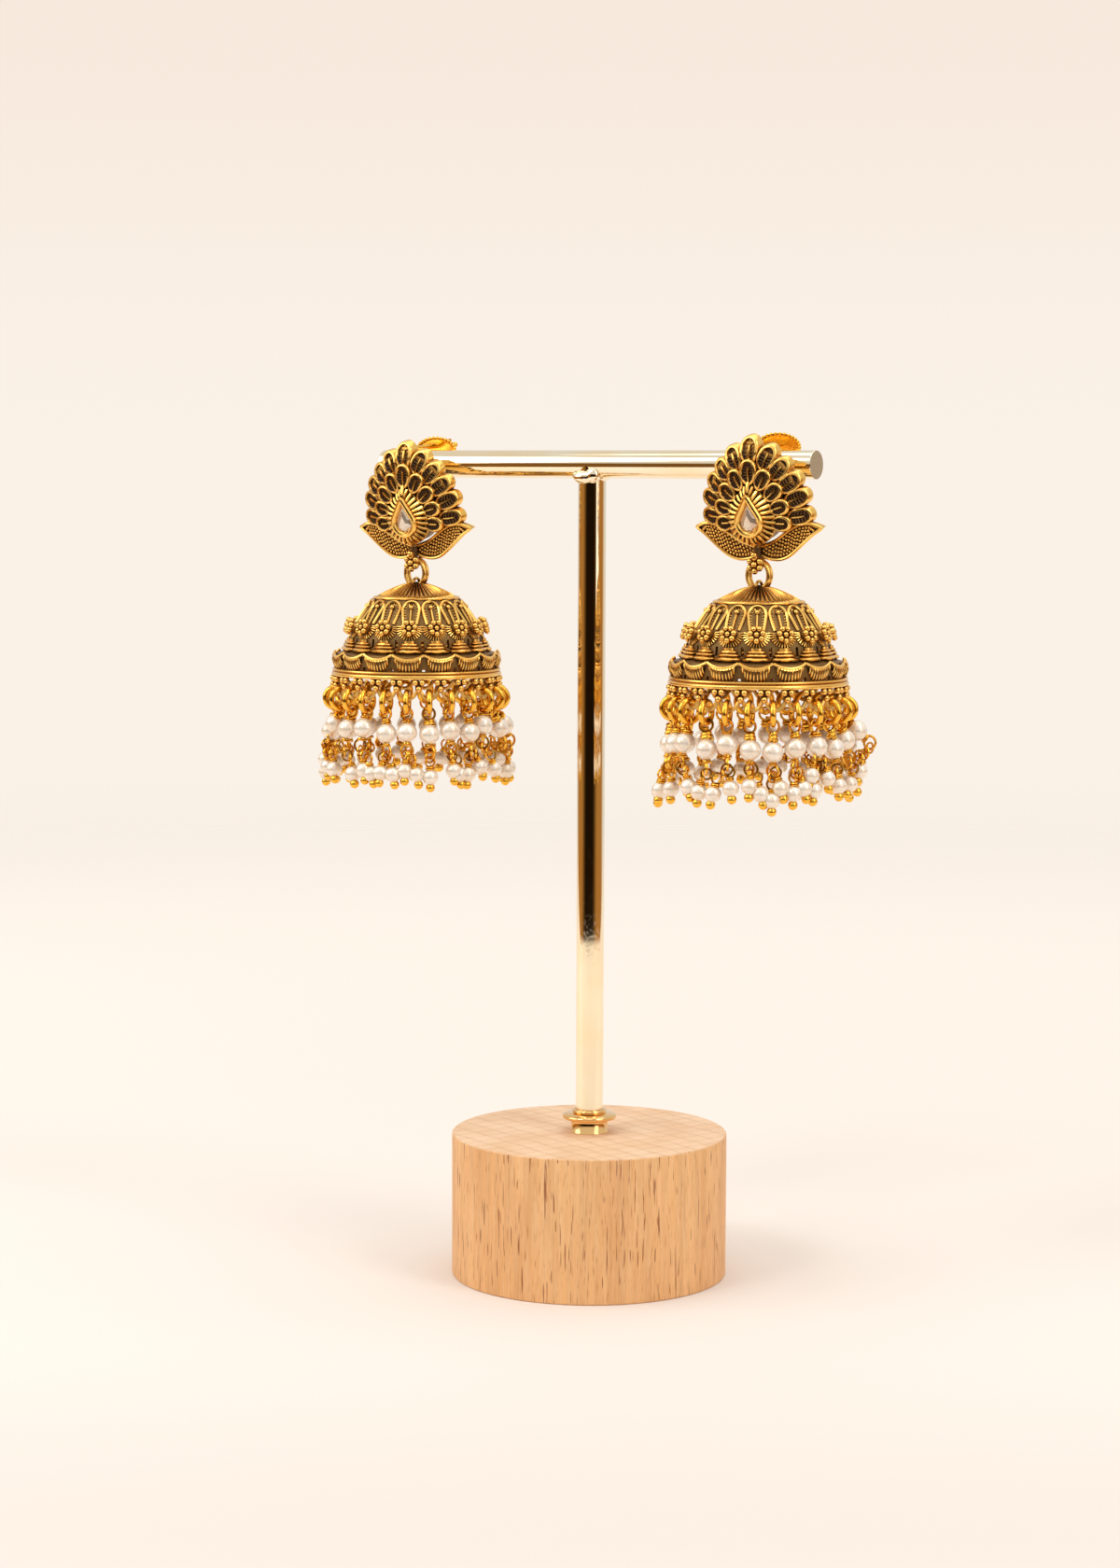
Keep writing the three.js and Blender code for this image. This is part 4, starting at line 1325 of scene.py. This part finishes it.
def seen_at(pixel, side, radius):
    """The angle, radius and height at which a pixel of the photograph meets a round wall about the bell."""
    start, way = camera_ray(pixel)
    start = start - side_place(side)
    flat = Vector((way.x, way.y))
    nearest = -(start.x * way.x + start.y * way.y) / flat.length_squared
    miss = (Vector((start.x, start.y)) + flat * nearest).length
    ahead = math.sqrt(max(0.0, radius * radius - miss * miss)) / flat.length
    spot = start + way * (nearest - ahead)
    return math.atan2(spot.y, spot.x), max(radius, miss), spot.z


def apart(first, second):
    """How far two angles are from one another."""
    return abs(math.remainder(first - second, math.tau))


def facing_camera(side, angle):
    """1 for the strand nearest the camera, -1 for the farthest."""
    to_camera = bpy.context.scene.camera.location / MM - side_place(side)
    return math.cos(angle - math.atan2(to_camera.y, to_camera.x))


def strand_places(side):
    """The angle of each strand and where its pearl hangs."""
    seen = [seen_at(pixel, side, PEARL["radius"]) for pixel in SEEN_PEARLS[side]]
    places = []
    for index in range(STRANDS):
        angle = math.radians(PHASES[side]["rings"]) + math.tau * index / STRANDS
        place = min(seen, key=lambda place: apart(place[0], angle))
        if apart(place[0], angle) >= math.pi / STRANDS or facing_camera(side, angle) <= -0.05:
            sway = math.radians(CHANCE.uniform(-2.2, 2.2))
            height = PEARL["z"] + CHANCE.uniform(-0.6, 0.7)
            place = (angle + sway, PEARL["radius"] + CHANCE.uniform(-0.5, 0.5), height)
        places.append((angle, around(*place)))
    return places


def drop_places(side):
    """Where the small pearls hang: those seen in front, and evenly staggered ones behind."""
    places = [around(*seen_at(pixel, side, DROP["radius"])) for pixel in SEEN_DROPS[side]]
    for index in range(2 * STRANDS):
        angle = math.radians(PHASES[side]["rings"] + 3.7) + math.pi * index / STRANDS
        if facing_camera(side, angle) > 0.12:
            continue
        radius, height = HIDDEN_DROPS[index % 2]
        height += CHANCE.uniform(-0.9, 0.9)
        angle += math.radians(CHANCE.uniform(-2, 2))
        places.append(around(angle, radius + CHANCE.uniform(-0.4, 0.6), height))
    return places


def aimed(spot, way, twist):
    """A place whose Z axis runs along way."""
    turn = way.to_track_quat("Z", "Y").to_matrix().to_4x4()
    return Matrix.Translation(spot) @ turn @ Matrix.Rotation(twist, 4, "Z")


def models():
    """The parts that the fringe repeats."""
    coil = []
    for step in range(int(COIL_TURNS * COIL_STEPS) + 1):
        turns = step / COIL_STEPS
        angle = math.tau * turns
        spot = around(angle, 0.86 - 0.22 * turns / COIL_TURNS, 0.36 * turns + 0.1 * math.sin(angle))
        coil.append((spot.x, 0.8 * spot.y, spot.z))
    return {
        "ring": link(FRINGE_RING["size"], FRINGE_RING["wire"], 28, 10),
        "eye": link(*EYE_LINK, 20, 6),
        "small_eye": link(*SMALL_EYE_LINK, 18, 6),
        "coil": wire(coil, COIL_WIRE, 6),
        "pin": cylinder(0.24, 1.0, 6),
        "tip": ball(DROP["tip"], segments=14, rings=9),
        "pearl": ball(PEARL["size"], segments=28, rings=18),
        "drop": ball(DROP["size"], segments=24, rings=14),
    }


def fringe(side, model):
    """One bell's fringe: its metal and its pearls, in two pieces."""
    pieces = {"bright_gold": [], "pearl": []}

    def add(name, spot, way, twist=0.0, stretch=(1, 1, 1)):
        finish = "pearl" if name in ("pearl", "drop") else "bright_gold"
        pieces[finish].append(copied(model[name], aimed(spot, way, twist) @ Matrix.Diagonal((*stretch, 1))))

    feet = []
    for angle, pearl_spot in strand_places(side):
        turn = CHANCE.uniform(-0.16, 0.16) if facing_camera(side, angle) > 0 else CHANCE.uniform(0.5, 1.0)
        ring_spot = around(angle, FRINGE_RING["radius"] + CHANCE.uniform(-0.15, 0.15), FRINGE_RING["z"])
        add("ring", ring_spot, around(angle + math.pi / 2 - turn, 1, 0))
        ring_foot = ring_spot - UP * FRINGE_RING["size"]
        hang = (ring_foot - pearl_spot).normalized()
        eye_spot = ring_foot - UP * HANG["ring_to_eye"]
        add("eye", eye_spot, around(angle + CHANCE.uniform(-0.5, 0.5), 1, 0))
        top = pearl_spot + hang * (PEARL["size"] - 0.12)
        gap = (eye_spot - hang * HANG["eye_to_coil"] - top).length
        add("coil", top, hang, CHANCE.uniform(0, 6), (1.15, 1.15, max(0.6, gap / COIL_HEIGHT)))
        add("pearl", pearl_spot, hang)
        low = pearl_spot - hang * (PEARL["size"] - 0.1)
        add("coil", low - hang * HANG["low_coil"], hang, CHANCE.uniform(0, 6), (0.95, 0.95, 0.7))
        foot = low - hang * HANG["low_eye"]
        twist = CHANCE.uniform(-1.2, 1.2)
        add("eye", foot, around(angle + twist, 1, 0))
        add("small_eye", foot - UP * HANG["small_eye"], around(angle + twist + 1.4, 1, 0))
        feet.append((angle, foot - UP * HANG["foot"]))
    for spot in drop_places(side):
        angle = math.atan2(spot.y, spot.x)
        anchor = min(feet, key=lambda foot: apart(foot[0], angle))[1]
        hang = (anchor - spot).normalized()
        if hang.z < 0.5:
            hang = (hang + UP * 1.5).normalized()
        lean = (hang + UP * 1.2).normalized()
        add("drop", spot, lean)
        add("tip", spot - lean * (DROP["size"] + HANG["drop_to_tip"]), lean)
        top = spot + lean * (DROP["size"] - 0.1)
        add("coil", top, lean, CHANCE.uniform(0, 6), (0.92, 0.92, 0.8))
        facing = around(angle + CHANCE.uniform(-1.3, 1.3), 1, 0)
        eye_spot = top + lean * HANG["drop_to_eye"]
        add("small_eye", eye_spot, facing)
        span = anchor - eye_spot
        if span.length > HANG["eye_gap"]:
            add("small_eye", eye_spot + span * 0.5, facing.cross(UP))
        if span.length > HANG["pin_gap"]:
            add("pin", eye_spot + span * 0.5, span.normalized(), stretch=(1, 1, span.length))
    for name, finish in (("fringe_wire", "bright_gold"), ("fringe_pearls", "pearl")):
        whole = moved(joined(pieces[finish]), Matrix.Translation(side_place(side)))
        finished(whole, f"{name}_{side}", f"bell_{side}", finish, [f"fringe_{side}"], smooth=60)


def fringes():
    model = models()
    for side in SIDES:
        fringe(side, model)
    removed(*model.values())


wood_base()
collar()
post_and_bar()
welds()
bells()
studs()
stones()
clutches()
jump_rings()
fringes()


# Light and floor

CREAM = rgb(0.965, 0.885, 0.80)
CREAM_HIGH = rgb(0.931, 0.814, 0.718)
# The floor's tones paint light and shade: lighter round the stand's foot to lift its shadow, darker in front
# where the lamps fall strongest, lighter far off where their light falls away.
FLOOR_FOOT_PAINTED_LIGHT = rgb(0.83, 0.76, 0.70)
FLOOR_NEAR_PAINTED_SHADE = rgb(0.73, 0.662, 0.61)
FLOOR_FAR_PAINTED_LIGHT = rgb(0.97, 0.90, 0.83)
# In metres: the round front edge's radius, and the floor's half width and reach at the back.
FLOOR_FRONT = 0.42
FLOOR_SIDE = 1.2
FLOOR_BACK = 2.4
# In metres from the stand: where the foot's painted light turns to the near painted shade, to the far painted
# light, and to nothing.
TO_NEAR = (0.04, 0.16)
TO_FAR = (0.08, 0.6)
TO_NOTHING = (0.25, 1.0)


def floor():
    """A pale floor, round in front, which fades into the background behind. Its tones paint light round the
    stand's foot and far off, and shade in front.
    """
    arc = [around(math.pi * (1 + step / 24), FLOOR_FRONT, 0) for step in range(25)]
    edge = [Vector((-FLOOR_SIDE, FLOOR_BACK, 0)), *arc, Vector((FLOOR_SIDE, FLOOR_BACK, 0))]
    sheet = primitive("circle", vertices=len(edge), radius=1, fill_type="NGON")
    stand = Matrix.Rotation(math.radians(CAMERA_AZIMUTH), 3, "Z")
    for vertex, spot in zip(sheet.data.vertices, edge):
        vertex.co = stand @ spot
    sheet.name = "floor"
    finish = Finish("floor")
    spot = finish.node("TexCoord", output="Object")
    away = finish.node("VectorMath", {"operation": "LENGTH"}, {0: spot}, "Value")
    nearer = finish.along(spot, stand @ Vector((0, -1, 0)))
    # Painted light round the stand's foot, painted shade in front of it, painted light far off.
    floor_painted_light_and_shade = finish.between(nearer.ramp(*TO_NEAR), FLOOR_FOOT_PAINTED_LIGHT, FLOOR_NEAR_PAINTED_SHADE)
    floor_painted_light_and_shade = finish.between(away.ramp(*TO_FAR), floor_painted_light_and_shade, FLOOR_FAR_PAINTED_LIGHT)
    sheet.data.materials.append(finish.surface(Base_Color=floor_painted_light_and_shade, Roughness=0.9, Specular_IOR_Level=0.1))
    finish.show(away.ramp(*TO_NOTHING), finish.paint, finish.node("BsdfTransparent"))


# What the metal mirrors: daylight above and behind, and a dim warm room in front, darkest at its middle.
DAYLIGHT = rgb(1.0, 0.965, 0.92)
DAYLIGHT_STRENGTH = 0.76
ROOM = rgb(0.40, 0.18, 0.04)
ROOM_AZIMUTH = 19
# Parts of a unit direction: along the room's own for its side and middle, and upwards for its top.
ROOM_SIDE = (-0.8, -0.3)
ROOM_TOP = (0.04, 0.2)
ROOM_MIDDLE = (0.35, 0.9)
ROOM_DARKEST = 0.03


def studio():
    """Soft even daylight from above and behind, with a dim room beyond the floor's front edge."""
    world = bpy.data.worlds.new("studio")
    bpy.context.scene.world = world
    world.use_nodes = True
    light = Shading(world.node_tree, "World")
    spot = light.node("TexCoord", output="Generated")
    azimuth = math.radians(ROOM_AZIMUTH)
    facing = light.along(spot, (math.sin(azimuth), -math.cos(azimuth), 0.0))
    height = light.node("SeparateXYZ", None, {0: spot}, "Z")
    in_room = facing.ramp(*ROOM_SIDE) * height.ramp(*ROOM_TOP, 1.0, 0.0)
    dimmed = {0: in_room, 2: DAYLIGHT_STRENGTH, 3: facing.ramp(*ROOM_MIDDLE, 1.0, ROOM_DARKEST)}
    strength = light.node("Mix", None, dimmed)
    tone = light.between(in_room, DAYLIGHT, ROOM)
    lit = light.node("Background", None, {"Color": tone, "Strength": strength})
    cream = light.between(height.ramp(0.0, 0.15), CREAM, CREAM_HIGH)
    seen = light.node("Background", None, {"Color": cream})
    light.show(light.node("LightPath", output="Is Camera Ray"), lit, seen)


# Each softbox: where it stands, its width and height in metres, and its power in watts.
SOFTBOXES = [
    {"name": "key", "spot": (-0.55, -0.45, 0.50), "size": (0.50, 0.60), "watts": 1.7},
    {"name": "fill", "spot": (0.75, -0.15, 0.35), "size": (0.35, 0.60), "watts": 0.8},
    {"name": "left window", "spot": (-0.20, -0.62, 0.74), "size": (0.24, 0.24), "watts": 1.4},
    {"name": "right window", "spot": (0.62, -0.12, 0.70), "size": (0.22, 0.22), "watts": 1.0},
    {"name": "top", "spot": (0.05, 0.10, 0.85), "size": (0.80, 0.80), "watts": 1.9},
]
LIGHT_AIM = Vector((0, 0, 0.09))


def softboxes():
    for box in SOFTBOXES:
        spot = Vector(box["spot"])
        facing = (spot - LIGHT_AIM).to_track_quat("Z", "Y").to_euler()
        bpy.ops.object.light_add(type="AREA", location=spot, rotation=facing)
        light = bpy.context.active_object
        light.name = box["name"]
        light.data.shape = "RECTANGLE"
        light.data.size, light.data.size_y = box["size"]
        light.data.energy = box["watts"]


floor()
studio()
softboxes()
bpy.context.scene.view_settings.view_transform = "Standard"
